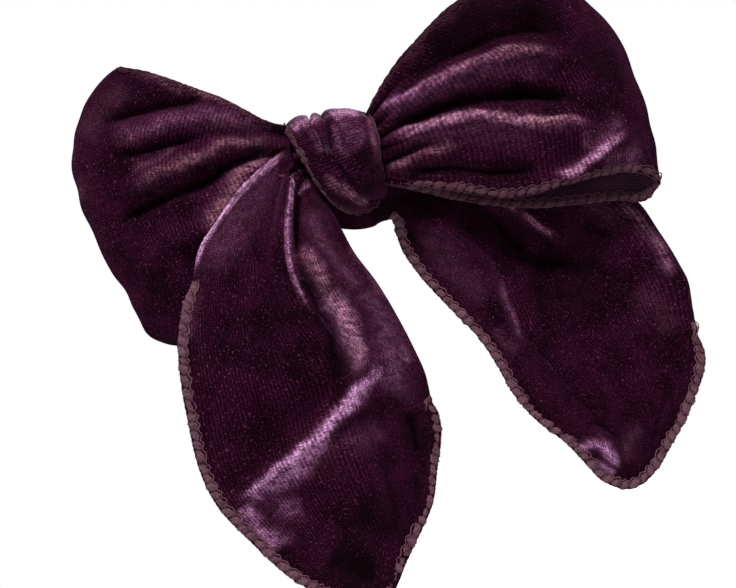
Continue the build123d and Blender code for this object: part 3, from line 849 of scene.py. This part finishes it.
LEFT_TAIL_CREASES = [
    ([(-46, -60), (-41, -59.2), (-36, -57.9), (-30, -56), (-24, -53.4), (-18, -50.6),
      (-12, -47.6), (-7, -45.2),
      (-2.6, -43.4)], (2.0, 3.8), 3.0),
    ([(-38, -48), (-30, -48.5), (-22, -46), (-16.5, -41)], (5.0, 4.5), -2.6),
    ([(-14, -14), (-12, -20), (-10.4, -26), (-9.4, -32), (-9, -37), (-9.6, -42)], (2.4, 2.6), 2.2),
    ([(-3.6, -55), (-4, -60), (-6, -67)], (2.4, 2.2), -1.8),
    ([(-8.6, 1.6), (-8.6, 0.4), (-8.9, -1)], (1.2, 1.3), -5.5),
    ([(-10.2, -3.8), (-9, -3.1), (-7, -2.9), (-5, -4)], (0.9, 1.3), 1.5),
    ([(-26, -6), (-30, -16), (-33, -28)], (5.0, 6.0), 1.2),
]
LEFT_TAIL_LIGHT = [
    ([(-9, 6.2), (-15, 3.6), (-22, 0), (-28, -4.4), (-33.5, -8.8), (-38, -13.6)], (1.0, 1.5), 0.7, 0.2),
    ([(-11, 3.4), (-18, -1.2), (-26, -7.2), (-34, -15)], 3.4, 0.15, 0.2),
    ([(-37, -14), (-41, -19), (-44, -26)], 1.8, 0.34, 0.15),
    ([(-8.8, 2.4), (-10.4, -1.5), (-11.6, -4), (-14.5, -10), (-16.5, -18), (-16.3, -25),
      (-15.4, -30)], (0.8, 0.45), 0.5, 0.2),
    ([(-13.2, -14), (-12, -19), (-10.6, -26), (-9.6, -31)], (1.8, 2.4), 0.32, 0.8),
    ([(-10.6, -25), (-9.4, -31), (-8.8, -36), (-9.2, -41), (-10, -46)], (2.0, 3.0), 0.54, 0.6),
    ([(-4, -27), (-2.8, -33), (-1.8, -39)], 3.0, 0.2, 0.2),
    ([(-46, -60.4), (-41, -59.8), (-36, -58.5), (-30, -56.6), (-24, -54), (-18, -51.1),
      (-12, -48.1), (-7, -45.7),
      (-2.6, -43.8)], (0.9, 1.4), 0.72, 0.0),
    ([(-44, -62), (-38, -60.8), (-31, -58.6), (-25, -56), (-19, -53)], (1.2, 3.0), 0.42, 0.05),
    ([(-45, -62), (-43, -66), (-40, -71), (-37.5, -75)], 2.2, 0.4, 0.1),
    ([(-37, -64), (-34.5, -66), (-31, -67)], 2.8, 0.24, 0.1),
    ([(-3, -35), (-2.4, -42), (-4, -47), (-8, -51.5)], 4.0, 0.22, 0.1),
    ([(-0.6, -42), (0.6, -47)], 1.4, 0.3, 0.4),
    ([(-20, -56), (-15, -58), (-9, -57)], 2.6, 0.14, 0.3),
    ([(-10, -4.4), (-8.6, -3.4), (-6.6, -3.2)], 0.5, 0.45, 0.4),
    ([(-9, -7), (-8.6, -14), (-6.6, -22), (-4, -30)], 1.8, 0.18, 0.2),
    ([(-3.4, -18), (-1.4, -26), (0, -33)], 1.4, 0.2, 0.3),
]
LEFT_TAIL_SHADE = [
    ([(-15.4, -20), (-14.8, -26), (-14.2, -32), (-14.2, -38), (-15, -43.5)], (1.0, 1.4), 1.0),
    ([(-15.6, -44), (-14.6, -40), (-14.4, -36)], 2.2, 0.85),
    ([(-36, -52.5), (-28, -50.4), (-21, -47.4), (-16, -43.6)], (3.4, 1.5), 0.5),
    ([(-22, -22), (-24, -32), (-26, -42)], 7.0, 0.3),
    ([(-3.6, -55), (-4, -60), (-5.4, -66)], (2.0, 1.8), 0.95),
    ([(-22, -70), (-18, -76), (-14, -80)], 4.4, 0.7),
    ([(-30, -79), (-26, -83), (-21, -86)], 3.8, 0.9),
    ([(-8.5, 1.6), (-8.5, 0.4), (-8.8, -1)], 1.3, 1.0),
    ([(-7.5, -5.5), (-4.5, -11), (-3, -14.5)], 1.3, 0.8),
]
RIGHT_TAIL_CREASES = [
    ([(12, -14), (17, -22), (20.5, -31), (22.5, -40), (24, -49)], (4.6, 4.4), 3.4),
    ([(24, -16), (28.5, -22), (31, -29), (35, -35), (44, -38)], (2.6, 3.0), -3.6),
    ([(31, -18), (34, -22.5), (37.6, -28), (40.5, -31.5), (44, -34.5)], (6.0, 0.9), 3.0),
    ([(50, -34), (56, -44), (58.5, -56)], (5.0, 4.0), 1.8),
    ([(29, -75.4), (32.5, -76.4), (34.6, -79), (35.2, -84)], (1.4, 1.4), 2.2),
    ([(33, -72.5), (37, -77), (38.5, -82)], (1.2, 1.2), -1.0),
    ([(36, -50), (46, -56), (50, -66)], (6.0, 6.0), -1.4),
]
RIGHT_TAIL_LIGHT = [
    ([(24.6, -36), (25.2, -41), (25.2, -46), (25.6, -51)], (0.6, 1.1), 0.26, 0.1),
    ([(20, -46), (22, -50), (24.4, -53)], 1.8, 0.12, 0.3),
    ([(13.5, -20), (15, -26), (18, -33), (21, -41)], 3.0, 0.1, 0.5),
    ([(56, -29), (59.4, -36), (61.2, -43), (61.8, -50)], (1.2, 1.8), 0.3, 0.7),
    ([(48, -25), (53, -31), (56, -37)], 2.0, 0.1, 0.95),
    ([(52, -48), (56, -54), (57, -62)], 3.0, 0.07, 0.8),
    ([(31, -19.5), (34.6, -23.4), (37.8, -28.6), (41, -32.4)], 0.5, 0.34, 0.5),
    ([(28.6, -78), (31, -77.6), (33.8, -78.4), (35, -81), (35.2, -85)], (1.0, 1.2), 0.6, 0.0),
    ([(31, -81), (32.6, -83.6), (34, -86)], 1.3, 0.5, 0.0),
    ([(38, -84), (41, -79), (44, -77.5)], 1.8, 0.14, 0.2),
]
RIGHT_TAIL_SHADE = [
    ([(24, -16), (25.5, -20), (29, -26), (32, -30), (36, -32.5)], (2.4, 3.0), 1.0),
    ([(36, -34), (42, -39), (48, -42)], 3.2, 0.75),
    ([(10.5, -18), (10.6, -21), (12, -26)], (0.8, 1.0), 0.8),
    ([(30, -38), (38, -44), (48, -51)], 5.0, 0.45),
    ([(2, -12), (8, -14), (14, -13.5), (24, -17)], 2.6, 0.9),
    ([(27, -50), (30, -58), (34, -66)], 3.4, 0.2),
]


def clear_of(grid, other, gap, ahead):
    """Moves a grid's points to stay gap in front of another piece (or behind it)."""
    mesh = other.data
    tree = BVHTree.FromPolygons([v.co for v in mesh.vertices], [tuple(p.vertices) for p in mesh.polygons])
    sign = 1 if ahead else -1
    push = np.zeros(grid.shape[:2])
    for i in range(grid.shape[0]):
        for j in range(grid.shape[1]):
            x, y, z = grid[i, j] * MM
            hit = tree.ray_cast(Vector((x, -0.08 * sign, z)), Vector((0, sign, 0)))[0]
            if hit is not None:
                push[i, j] = max(0.0, (y - hit.y) / MM * sign + gap)
    for _ in range(12):
        spread = push.copy()
        spread[1:-1, 1:-1] = (push[:-2, 1:-1] + push[2:, 1:-1] + push[1:-1, :-2] + push[1:-1, 2:]) / 4
        push = np.maximum(push * 0.999, spread)
    moved = grid.copy()
    moved[..., 1] -= sign * push
    return moved


def even_frames(line, inward, out):
    """Evenly spaced copies of an edge and its directions, softened at sharp corners.

    Inward comes back square to the edge, on the side that it was given on.
    """
    at = lengths(line)
    keep = np.concatenate([[True], np.diff(at) > 1e-4])
    at = at[keep]
    where = np.linspace(0, at[-1], int(at[-1] / 0.3))
    line, inward, out = (sampled(v[keep], at, where) for v in (line, inward, out))
    line = eased(line, 8)
    out = unit(eased(out, 40))
    along = eased(unit(np.gradient(line, axis=0)), 40)
    side = unit(np.cross(out, along))
    return line, side * np.sign(np.sum(side * inward)), out


def make_tail(name, rows, section, base, creases, light, shade, seed, other, ahead, tuck):
    """One tail, ahead of another piece or behind it, and the overlocked edge round it.

    tuck is how far down its left and right edges the stitches come into view.
    """
    grid, s, t = tail_grid(rows, section, base)
    whole = np.ones(grid.shape[:2])
    outward = normals(grid)
    outward = outward * -np.sign(outward[..., 1].mean())
    grid = sculpt(grid, creases, whole, unit(outward * (0.4, 1, 0.4)))
    x, z = grid[..., 0], grid[..., 2]
    slack = 0.5 * ripple(x, z, 21, seed) + 0.15 * ripple(x, z, 7, seed + 1)
    border = np.minimum(t, 1 - t) * STRIP_WIDTH
    flutter = ripple(s[:, None] * 100 + 0 * border, 0 * s[:, None] + border, 9, seed + 2)
    flutter *= 0.3 * np.exp(-border / 4) * (1 - 0.75 * smooth_step(s, 0.74, 0.88)[:, None])
    grid[..., 1] -= (slack + flutter) * smooth_step(s, 0.02, 0.2)[:, None]
    grid = clear_of(grid, other, CLOTH + 0.5, ahead)
    flip = normals(grid)[..., 1].mean() > 0
    uv = mapped(s[:, None] * 95.0, t[None] * STRIP_WIDTH)
    values = paint(grid, light, shade, whole)
    piece = shell(f"{name}_tail_cloth", grid, CLOTH_MATERIALS, uv, values, flip=flip)
    settle(piece, f"{name}_tail")
    last, right = len(s) - 1, len(t) - 1
    first_left, first_right = (int(v * last) for v in tuck)
    down = np.arange(first_left, last)
    across = np.arange(0, right, 6)
    up = np.arange(last, first_right, -1)
    foot = np.full_like(across, last)
    ways = [
        edge_of(grid, down, np.zeros_like(down), (0, 5), flip),
        edge_of(grid, foot, across, (-4, 0), flip),
        edge_of(grid, up, np.full_like(up, right), (0, -12), flip),
    ]
    line, inward, out = (np.concatenate([w[k] for w in ways]) for k in range(3))
    # Near the foot, where the cloth narrows, the stitches lie flat to the front.
    level = smooth_step(s, 0.72, 0.84)[np.concatenate([down, foot, up])][:, None]
    out = unit(out * (1 - level) + level * (0, -1, 0))
    band = overlock(*even_frames(line, inward, out), seed, 1.05, 1.05)
    stitch_piece(f"{name}_tail_stitches", f"{name}_tail_edging", [band])


# ---- knot ----------------------------------------------------------------------------------
# Rows of points round the wrap, from its top over the front and under the foot to the back; each row
# runs across the wrap from its left rim to its right.
KNOT_ROWS = [
    [(-8.2, -9.5, 10.5), (-4, -9.5, 11.2), (0.5, -9.5, 10.5), (5.5, -9.5, 9), (10.1, -9.5, 7.1)],
    [(-7.3, -15.0, 7.2), (-3.2, -16.0, 7.2), (1.4, -16.6, 7), (6, -16.4, 6.3), (10.6, -15.4, 5.1)],
    [(-6.3, -17.2, 1.4), (-2.3, -18.4, 1), (1.6, -19, 0.8), (6, -18.7, 0.9), (10.4, -17.4, 1.2)],
    [(-4.6, -16, -5.4), (-1.6, -17.2, -6), (2, -17.8, -5.6), (5.8, -17.4, -4.4), (9, -15.8, -2.8)],
    [(-1.4, -13, -10.8), (1.2, -14.6, -10.4), (3.6, -15.2, -9.6), (6.2, -14.8, -7.8), (8.6, -13.6, -5.8)],
    [(4.6, -9.5, -11.4), (5.4, -10.6, -11), (6.3, -11.2, -10.2), (7.3, -11.2, -9.2), (8.3, -10.4, -8)],
    [(-1, -5, -8.8), (1.6, -4.7, -9.2), (4, -4.7, -9), (6.4, -4.8, -8.2), (8.6, -5.2, -6.8)],
    [(-9, -2.9, 0), (-4.5, -2.6, 0), (0, -2.5, 0), (4.5, -2.6, 0), (9, -2.9, 0)],
    [(-9, -4.6, 6.8), (-4.6, -4.2, 7.6), (0, -4.1, 7.8), (4.8, -4.3, 7.4), (9.6, -4.8, 6)],
]
# Where the two deep folds lie across the wrap, and how far each laps, one value a row.
FOLD_ONE = (
    [0.32, 0.29, 0.31, 0.33, 0.34, 0.34, 0.32, 0.3, 0.3],
    [0.2, 0.2, 0.21, 0.22, 0.22, 0.22, 0.22, 0.22, 0.21],
)
FOLD_TWO = (
    [0.53, 0.48, 0.42, 0.43, 0.5, 0.55, 0.58, 0.56, 0.55],
    [0.34, 0.37, 0.42, 0.42, 0.38, 0.34, 0.32, 0.35, 0.35],
)
KNOT_CREASES = [
    ([(-5.5, 11), (-5, 6), (-3.6, 1), (-2.6, -3)], (0.9, 0.9), -0.5),
    ([(4.5, 10.5), (4.6, 5), (4.2, 0), (4.6, -5)], (1.0, 1.0), -0.35),
    ([(8, 8.5), (8, 3), (7.2, -2), (6.2, -7)], (1.1, 1.1), -0.5),
    ([(-3, -4.5), (-1.6, -8), (0.4, -10.5)], (0.9, 0.9), 0.5),
    ([(-0.6, -1), (0, -4.5), (1, -7.5), (2.2, -9.4)], (0.6, 0.8), 0.7),
]
KNOT_LIGHT = [
    ([(-6.8, 9.4), (-4.4, 10), (-2.5, 9.8), (0.4, 9.6)], 1.7, 0.42, 0.25),
    ([(2, 8.8), (4.5, 9), (7, 8.2), (9, 7)], 1.7, 0.46, 0.1),
    ([(2.2, 8), (1.9, 5), (1.9, 2), (2.6, -1)], 0.7, 0.18, 0.2),
    ([(4, 8), (5.4, 4), (6.4, 0)], 3.4, 0.18, 0.2),
    ([(9.6, 6.6), (9.9, 3), (9.2, -1), (8.4, -5)], 0.9, 0.26, 0.5),
    ([(-1.8, 8), (-1.4, 4), (-1, 1)], 0.9, 0.3, 0.3),
    ([(-3, -2), (-1.6, -5), (-0.2, -7.4), (1.4, -9.6), (4, -10)], 0.9, 0.36, 0.7),
]
KNOT_SHADE = [
    ([(1.3, 9.4), (0.8, 6), (0.5, 1.5), (0.6, -2), (2, -6), (3.6, -9.2)], (0.45, 0.45), 1.0),
    ([(3.4, -5), (4.6, -7.6), (5.4, -9)], 1.1, 0.6),
    ([(-2.2, 10), (-1.8, 6), (-1.2, 1)], (0.35, 0.35), 0.8),
    ([(4.8, 1), (5.6, -2), (5.6, -6)], 2.4, 0.45),
    ([(-4, -2), (-2.6, -5), (-1.4, -8)], 1.3, 0.6),
    ([(-4.8, 5), (-3.6, 0)], 1.2, 0.3),
]


def wrap_grid(around=240, across=196):
    """The strip wrapped once round the middle, folded along its length in two places."""
    rows = np.asarray(KNOT_ROWS, float)
    turn = np.linspace(0, len(rows), around, endpoint=False)
    wrapped = np.concatenate([rows[-3:], rows, rows[:3]])
    at = np.arange(-3, len(rows) + 3)
    envelope = spline(wrapped, at, turn)
    fine = np.linspace(0, 1, 81)
    envelope = np.moveaxis(spline(np.moveaxis(envelope, 1, 0), np.linspace(0, 1, 5), fine), 0, 1)
    closed = np.concatenate([envelope[-2:], envelope, envelope[:2]])
    outward = normals(closed)[2:-2]
    b = np.linspace(0, 1, across)
    cyclic = lambda v: spline(np.concatenate([v[-3:], v, v[:3]]), at, turn)
    one, lap_one = (cyclic(np.asarray(v, float)) for v in FOLD_ONE)
    two, lap_two = (cyclic(np.asarray(v, float)) for v in FOLD_TWO)
    stations = [
        0, 0.04, 0.11, 0.17, 0.2, 0.22, 0.27, 0.29, 0.31, 0.36, 0.4, 0.46,
        0.52, 0.57, 0.62, 0.645, 0.67, 0.72, 0.745, 0.77, 0.84, 0.92, 0.97, 1,
    ]
    height = [
        -0.6, 0, 0.6, 0.5, 0.1, -0.7, -0.95, -1.3, -1.8, -1.9, -0.7, 0.5,
        -0.5, -1.9, -2.4, -2.2, -1.5, -1.2, -0.5, 0.4, 0.9, 0.5, -0.2, -1.0,
    ]
    grid = np.empty((around, across, 3))
    for i in range(around):
        p1, w1, p2, w2 = one[i], lap_one[i], two[i], lap_two[i]
        place = [
            0, 0.04, p1 * 0.5, p1 - 0.05, p1, p1 - 0.03, p1 - 0.8 * w1, p1 - w1, p1 - 0.85 * w1,
            p1 - 0.1, p1 + 0.04, (p1 + p2) / 2, p2 - 0.01, p2 + w2 * 0.5, p2 + w2 * 0.96, p2 + w2,
            p2 + 0.94 * w2, p2 + 0.1 * w2, p2 - 0.015, p2 + 0.02, p2 + (1 - p2) * 0.4, 0.9, 0.975, 1,
        ]
        p = spline(place, stations, b)
        h = spline(height, stations, b)
        for k in range(3):
            base = np.interp(p, fine, envelope[i, :, k])
            grid[i, :, k] = base + h * np.interp(p, fine, outward[i, :, k])
    return grid, turn / len(rows), b


def make_knot():
    """The wrap, with its stitched rims."""
    grid, s, t = wrap_grid()
    outward = normals(np.concatenate([grid[-2:], grid, grid[:2]]))[2:-2]
    grid = sculpt(grid, KNOT_CREASES, smooth_step(-outward[..., 1], 0.05, 0.4), outward)
    grid = grid + outward * (0.14 * ripple(grid[..., 0], grid[..., 2] + grid[..., 1], 4.5, 61))[..., None]
    values = paint(grid, KNOT_LIGHT, KNOT_SHADE, smooth_step(-outward[..., 1], -0.35, 0.1))
    values = {k: v.T for k, v in values.items()}
    grid = np.swapaxes(grid, 0, 1)
    uv = mapped(t[:, None] * WAIST_WIDTH, s[None, :] * WRAP_LENGTH)
    wrap = shell("knot_cloth", grid, CLOTH_MATERIALS, uv, values, ring=True, flip=True)
    settle(wrap, "knot_wrap")
    rims = []
    start = int(0.72 * grid.shape[1])  # the rims' stitches start and end at the back
    for row, step, size, seed in ((0, 3, 0.85, 71), (-1, -3, 0.7, 73)):
        strands = (grid[row], grid[row + step], outward[:, row])
        line, inner, facing = (np.roll(v, -start, axis=0) for v in strands)
        rims.append(overlock(*even_frames(line, unit(inner - line), facing), seed, size, 0.35))
    stitch_piece("knot_stitches", "knot_edging", rims)


def make_core():
    """The strip drawn together inside the knot, folded to and fro across its width."""
    turns, points, half_length = 9, 220, 9.6
    z = np.linspace(-8.0, 8.0, turns)
    y = 4.7 * np.sqrt(1 - (z / 8.8) ** 2) * np.where(np.arange(turns) % 2, 1, -1)
    y, z = through(np.stack([y, z], axis=1), points).T
    along = np.linspace(-1, 1, 60)[:, None]
    narrow = 1 - 0.08 * along**4
    wander = 0.35 * ripple(along * 9 + 0 * y, z + 0 * along, 6, 81)
    grid = mapped(half_length * along, BOW_Y + y * narrow + wander, z * narrow + wander)
    uv = mapped(np.linspace(0, STRIP_WIDTH, points)[None, :], half_length * along)
    plain = np.zeros(grid.shape[:2])
    values = {"lit": plain, "warm": plain, "shade": plain}
    core = shell("knot_core_cloth", grid, CLOTH_MATERIALS, uv, values)
    settle(core, "knot_core")


# ---- clip ----------------------------------------------------------------------------------
def nickel_material():
    """Pressed, plated steel: fine drawn lines, small scratches and a little tarnish."""
    n = Nodes("nickel")
    where = n.node("TexCoord").outputs["Object"]
    drawn = n.node("Mapping", Vector=where, Scale=(400, 9000, 9000))
    lines = n.noise(drawn.outputs[0], 1.0, 3.0, 0.7)
    tarnish = n.noise(where, 260.0, 4.0, 0.6)
    scratches = n.noise(where, 1900.0, 5.0, 0.8, 1.5)
    base = n.mix(n.ramp(tarnish, 0.45, 0.75), NICKEL_BRIGHT, NICKEL_TARNISH)
    base = n.mix(n.ramp(scratches, 0.62, 0.7), base, NICKEL_SCRATCH)
    rough = n.math("MULTIPLY_ADD", lines, 0.22, 0.16)
    n.set(Base_Color=base, Metallic=1.0, Roughness=rough)
    n.bump(n.sum(lines, n.times(scratches, 0.5)), 0.02, 0.35)
    return n.material


def spring_material():
    """Drawn spring wire, darker and smoother than the pressed steel."""
    n = Nodes("wire")
    where = n.strip((1.0, 14.0, 1))
    lines = n.noise(where, 1.5, 3.0, 0.7)
    spots = n.noise(n.strip(), 1.3, 3.0, 0.6)
    base = n.mix(n.ramp(spots, 0.4, 0.7), WIRE_BRIGHT, WIRE_DULL)
    rough = n.math("MULTIPLY_ADD", lines, 0.2, 0.2)
    n.set(Base_Color=base, Metallic=1.0, Roughness=rough)
    n.bump(lines, 0.015, 0.5)
    return n.material


def ribbon_material():
    """Grosgrain: polyester yarn over thick cross cords."""
    n = Nodes("grosgrain")
    cloth = n.strip()
    yarn = n.noise(n.strip((7.0, 1.0, 1)), 2.2, 3.0, 0.7)
    cord = n.wave(cloth, RIBBON_CORD_PITCH, 0.1, 1.0, "Y")
    base = n.mix(n.ramp(yarn, 0.35, 0.7), RIBBON_DARK, RIBBON_PALE)
    base = n.mix(n.times(cord, 0.6), base, RIBBON_CORD)
    n.set(Base_Color=base, Roughness=0.52, Specular_IOR_Level=0.4)
    n.set(Sheen_Weight=0.15, Sheen_Roughness=0.4, Sheen_Tint=(0.8, 0.6, 0.8, 1))
    n.bump(n.sum(cord, n.times(yarn, 0.5)), 0.06, 0.7)
    return n.material


def glue_material():
    """Set hot-melt glue: milky amber, smooth, with small bubbles."""
    n = Nodes("glue")
    where = n.node("TexCoord").outputs["Object"]
    cloud = n.noise(where, 420.0, 3.0)
    bubbles = n.noise(where, 1600.0, 2.0)
    base = n.mix(cloud, GLUE_DEEP, GLUE_MILKY)
    base = n.mix(n.ramp(bubbles, 0.66, 0.72), base, GLUE_BUBBLE)
    rough = n.math("MULTIPLY_ADD", cloud, 0.2, 0.22)
    n.set(Base_Color=base, Roughness=rough, Subsurface_Weight=0.3, Subsurface_Scale=0.001)
    n.bump(n.sum(cloud, bubbles), 0.12, 0.4)
    return n.material


def make_ribbon():
    """Grosgrain ribbon glued along the arm's back, round its tip and part way up its inside."""
    tip = [(-25.5 - 0.95 * math.sin(a), -0.4 - 0.65 * math.cos(a)) for a in np.linspace(0, math.pi, 13)]
    path = even(np.array([(22.0, -1.05), *tip, (-1.0, 0.25)]), 640)
    outward = eased(unit(np.stack([np.gradient(path[:, 1]), -np.gradient(path[:, 0])], axis=1)), 6)
    at = lengths(path)[:, None]
    z = np.linspace(-RIBBON_WIDTH / 2, RIBBON_WIDTH / 2, 15)
    # Raised cords across it, and edges pressed down a little.
    pressed = (np.abs(z) / (RIBBON_WIDTH / 2)) ** 8
    height = 0.05 * (np.abs(np.sin(math.pi * at / RIBBON_CORD_PITCH)) - pressed)
    grid = mapped(
        path[:, :1] + outward[:, :1] * height,
        path[:, 1:] + outward[:, 1:] * height,
        z * (1 + 0.004 * np.sin(2 * math.pi * at / RIBBON_CORD_PITCH)),
    )
    uv = mapped(z[None], at)
    piece = shell("arm_ribbon_cloth", grid, [ribbon_material()] * 2, uv, {}, RIBBON_THICK - 0.1)
    settle(piece, "arm_ribbon")


def make_spring():
    """Torsion spring: one leg on the arm, four turns on the pin, one leg under the jaw's thumb tab."""
    x, y = PIN
    turn = np.linspace(0, 2 * math.pi * COIL_TURNS, 260)
    rise = COIL_HALF * (2 * turn / turn[-1] - 1)
    coil = np.stack([x + COIL_RADIUS * np.cos(turn), y + COIL_RADIUS * np.sin(turn), rise], axis=1)
    lower = np.linspace((20.0, 0.45, -COIL_HALF), coil[0], 40)[:-1]
    upper = np.linspace(coil[-1], (20.0, 8.5, COIL_HALF), 40)[1:]
    path = eased(np.concatenate([lower, coil, upper]), 4)
    points, faces, uv = tube(path, WIRE_RADIUS, 12)
    piece = make_piece("spring_wire_coil", points, faces, [spring_material()], uv)
    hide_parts("torsion_spring")
    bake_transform(piece)


def make_glue():
    """The bead that holds the knot's back to the ribbon, squeezed out a little at its rim."""
    rings, sides = 40, 90
    a = np.linspace(0.04, math.pi - 0.04, rings)[:, None]
    b = np.linspace(0, 2 * math.pi, sides, endpoint=False)[None]
    soft = lambda v, power: np.sign(v) * np.abs(v) ** power
    wobble = 1 + 0.05 * ripple(3 * np.cos(b) + 0 * a, 3 * np.sin(b) + 0 * a, 3.0, 91)
    x = 8.5 * np.sin(a) ** 0.6 * soft(np.cos(b), 0.62) * wobble
    z = 3.6 * np.sin(a) ** 0.6 * soft(np.sin(b), 0.62) * wobble
    y = -1.9 - 0.72 * soft(np.cos(a), 0.7) - 0.1 * ripple(x, z, 5.0, 93) * np.sin(a)
    caps = [list(range(sides)), [(rings - 1) * sides + k for k in range(sides)][::-1]]
    faces = [*quads(rings, sides, ring=True)[:, ::-1].tolist(), *caps]
    piece = make_piece("glue_bead_blob", mapped(x, y, z), faces, [glue_material()])
    settle(piece, "glue_bead")


CLOTH_MATERIALS = [velvet_material(), reverse_material()]
THREAD = thread_material()


# ---- camera, light and floor ---------------------------------------------------------------
def make_camera():
    """Seen from the front, rolled as the photograph shows the bow."""
    data = bpy.data.cameras.new("camera")
    data.lens = CAMERA_LENS
    data.clip_start = 0.01
    camera = bpy.data.objects.new("camera", data)
    camera.location = (CAMERA_AIM[0] * MM, (BOW_Y - CAMERA_DISTANCE) * MM, CAMERA_AIM[1] * MM)
    camera.rotation_euler = (math.radians(90), CAMERA_ROLL, 0)
    bpy.context.scene.collection.objects.link(camera)
    bpy.context.scene.camera = camera


def area_light(name, place, aim, size, watts):
    """A round area light at a place, turned to its aim."""
    data = bpy.data.lights.new(name, "AREA")
    data.shape = "DISK"
    data.size = size * MM
    data.energy = watts
    light = bpy.data.objects.new(name, data)
    light.location = Vector(place) * MM
    light.rotation_euler = (Vector(aim) - Vector(place)).to_track_quat("-Z", "Y").to_euler()
    bpy.context.scene.collection.objects.link(light)


def make_world():
    """White to the camera, and a little cool fill to the bow."""
    world = bpy.data.worlds.new("studio")
    bpy.context.scene.world = world
    world.use_nodes = True
    tree = world.node_tree
    back = tree.nodes["Background"]
    seen = tree.nodes.new("ShaderNodeBackground")
    seen.inputs["Strength"].default_value = 1.0
    seen.inputs["Color"].default_value = (1, 1, 1, 1)
    back.inputs["Color"].default_value = (0.95, 0.97, 1, 1)
    back.inputs["Strength"].default_value = 0.05
    ray = tree.nodes.new("ShaderNodeLightPath")
    mix = tree.nodes.new("ShaderNodeMixShader")
    tree.links.new(ray.outputs["Is Camera Ray"], mix.inputs[0])
    tree.links.new(back.outputs[0], mix.inputs[1])
    tree.links.new(seen.outputs[0], mix.inputs[2])
    tree.links.new(mix.outputs[0], tree.nodes["World Output"].inputs["Surface"])
    bpy.context.scene.view_settings.view_transform = "Standard"


def make_floor():
    """A plain round floor, well below the bow."""
    turn = np.linspace(0, 2 * math.pi, 96, endpoint=False)
    points = mapped(FLOOR_RADIUS * np.cos(turn), FLOOR_RADIUS * np.sin(turn), FLOOR_Z)
    n = Nodes("floor")
    n.set(Base_Color=(0.9, 0.9, 0.9, 1), Roughness=0.7)
    make_piece("floor", points, [list(range(96))], [n.material], smooth=False)


make_camera()
make_world()
make_floor()
area_light("key", (20, -260, 330), (0, -10, -25), 150, 2.7)
area_light("front", (-260, -420, 60), (0, -10, -25), 240, 0.35)
area_light("rear", (60, 380, 260), (0, 0, -25), 300, 4.0)

left_loop = make_loop(
    "left", LEFT_LOOP, LEFT_LOOP_CREASES, LEFT_LOOP_LIGHT, LEFT_LOOP_SHADE, False, 11)
right_loop = make_loop(
    "right", RIGHT_LOOP, RIGHT_LOOP_CREASES, RIGHT_LOOP_LIGHT, RIGHT_LOOP_SHADE, True, 23)
make_knot()
make_core()
make_ribbon()
make_spring()
make_glue()
NICKEL = nickel_material()
for node in ("flat_arm", "toothed_jaw", "hinge_pin"):
    for slot in bpy.data.objects[node].material_slots:
        slot.material = NICKEL
make_tail("left", LEFT_TAIL_ROWS, left_tail_section, LEFT_BASE, LEFT_TAIL_CREASES, LEFT_TAIL_LIGHT,
          LEFT_TAIL_SHADE, 31, left_loop, True, (0.17, 0.585))
make_tail("right", RIGHT_TAIL_ROWS, right_tail_section, RIGHT_BASE, RIGHT_TAIL_CREASES, RIGHT_TAIL_LIGHT,
          RIGHT_TAIL_SHADE, 47, right_loop, False, (0.185, 0.66))
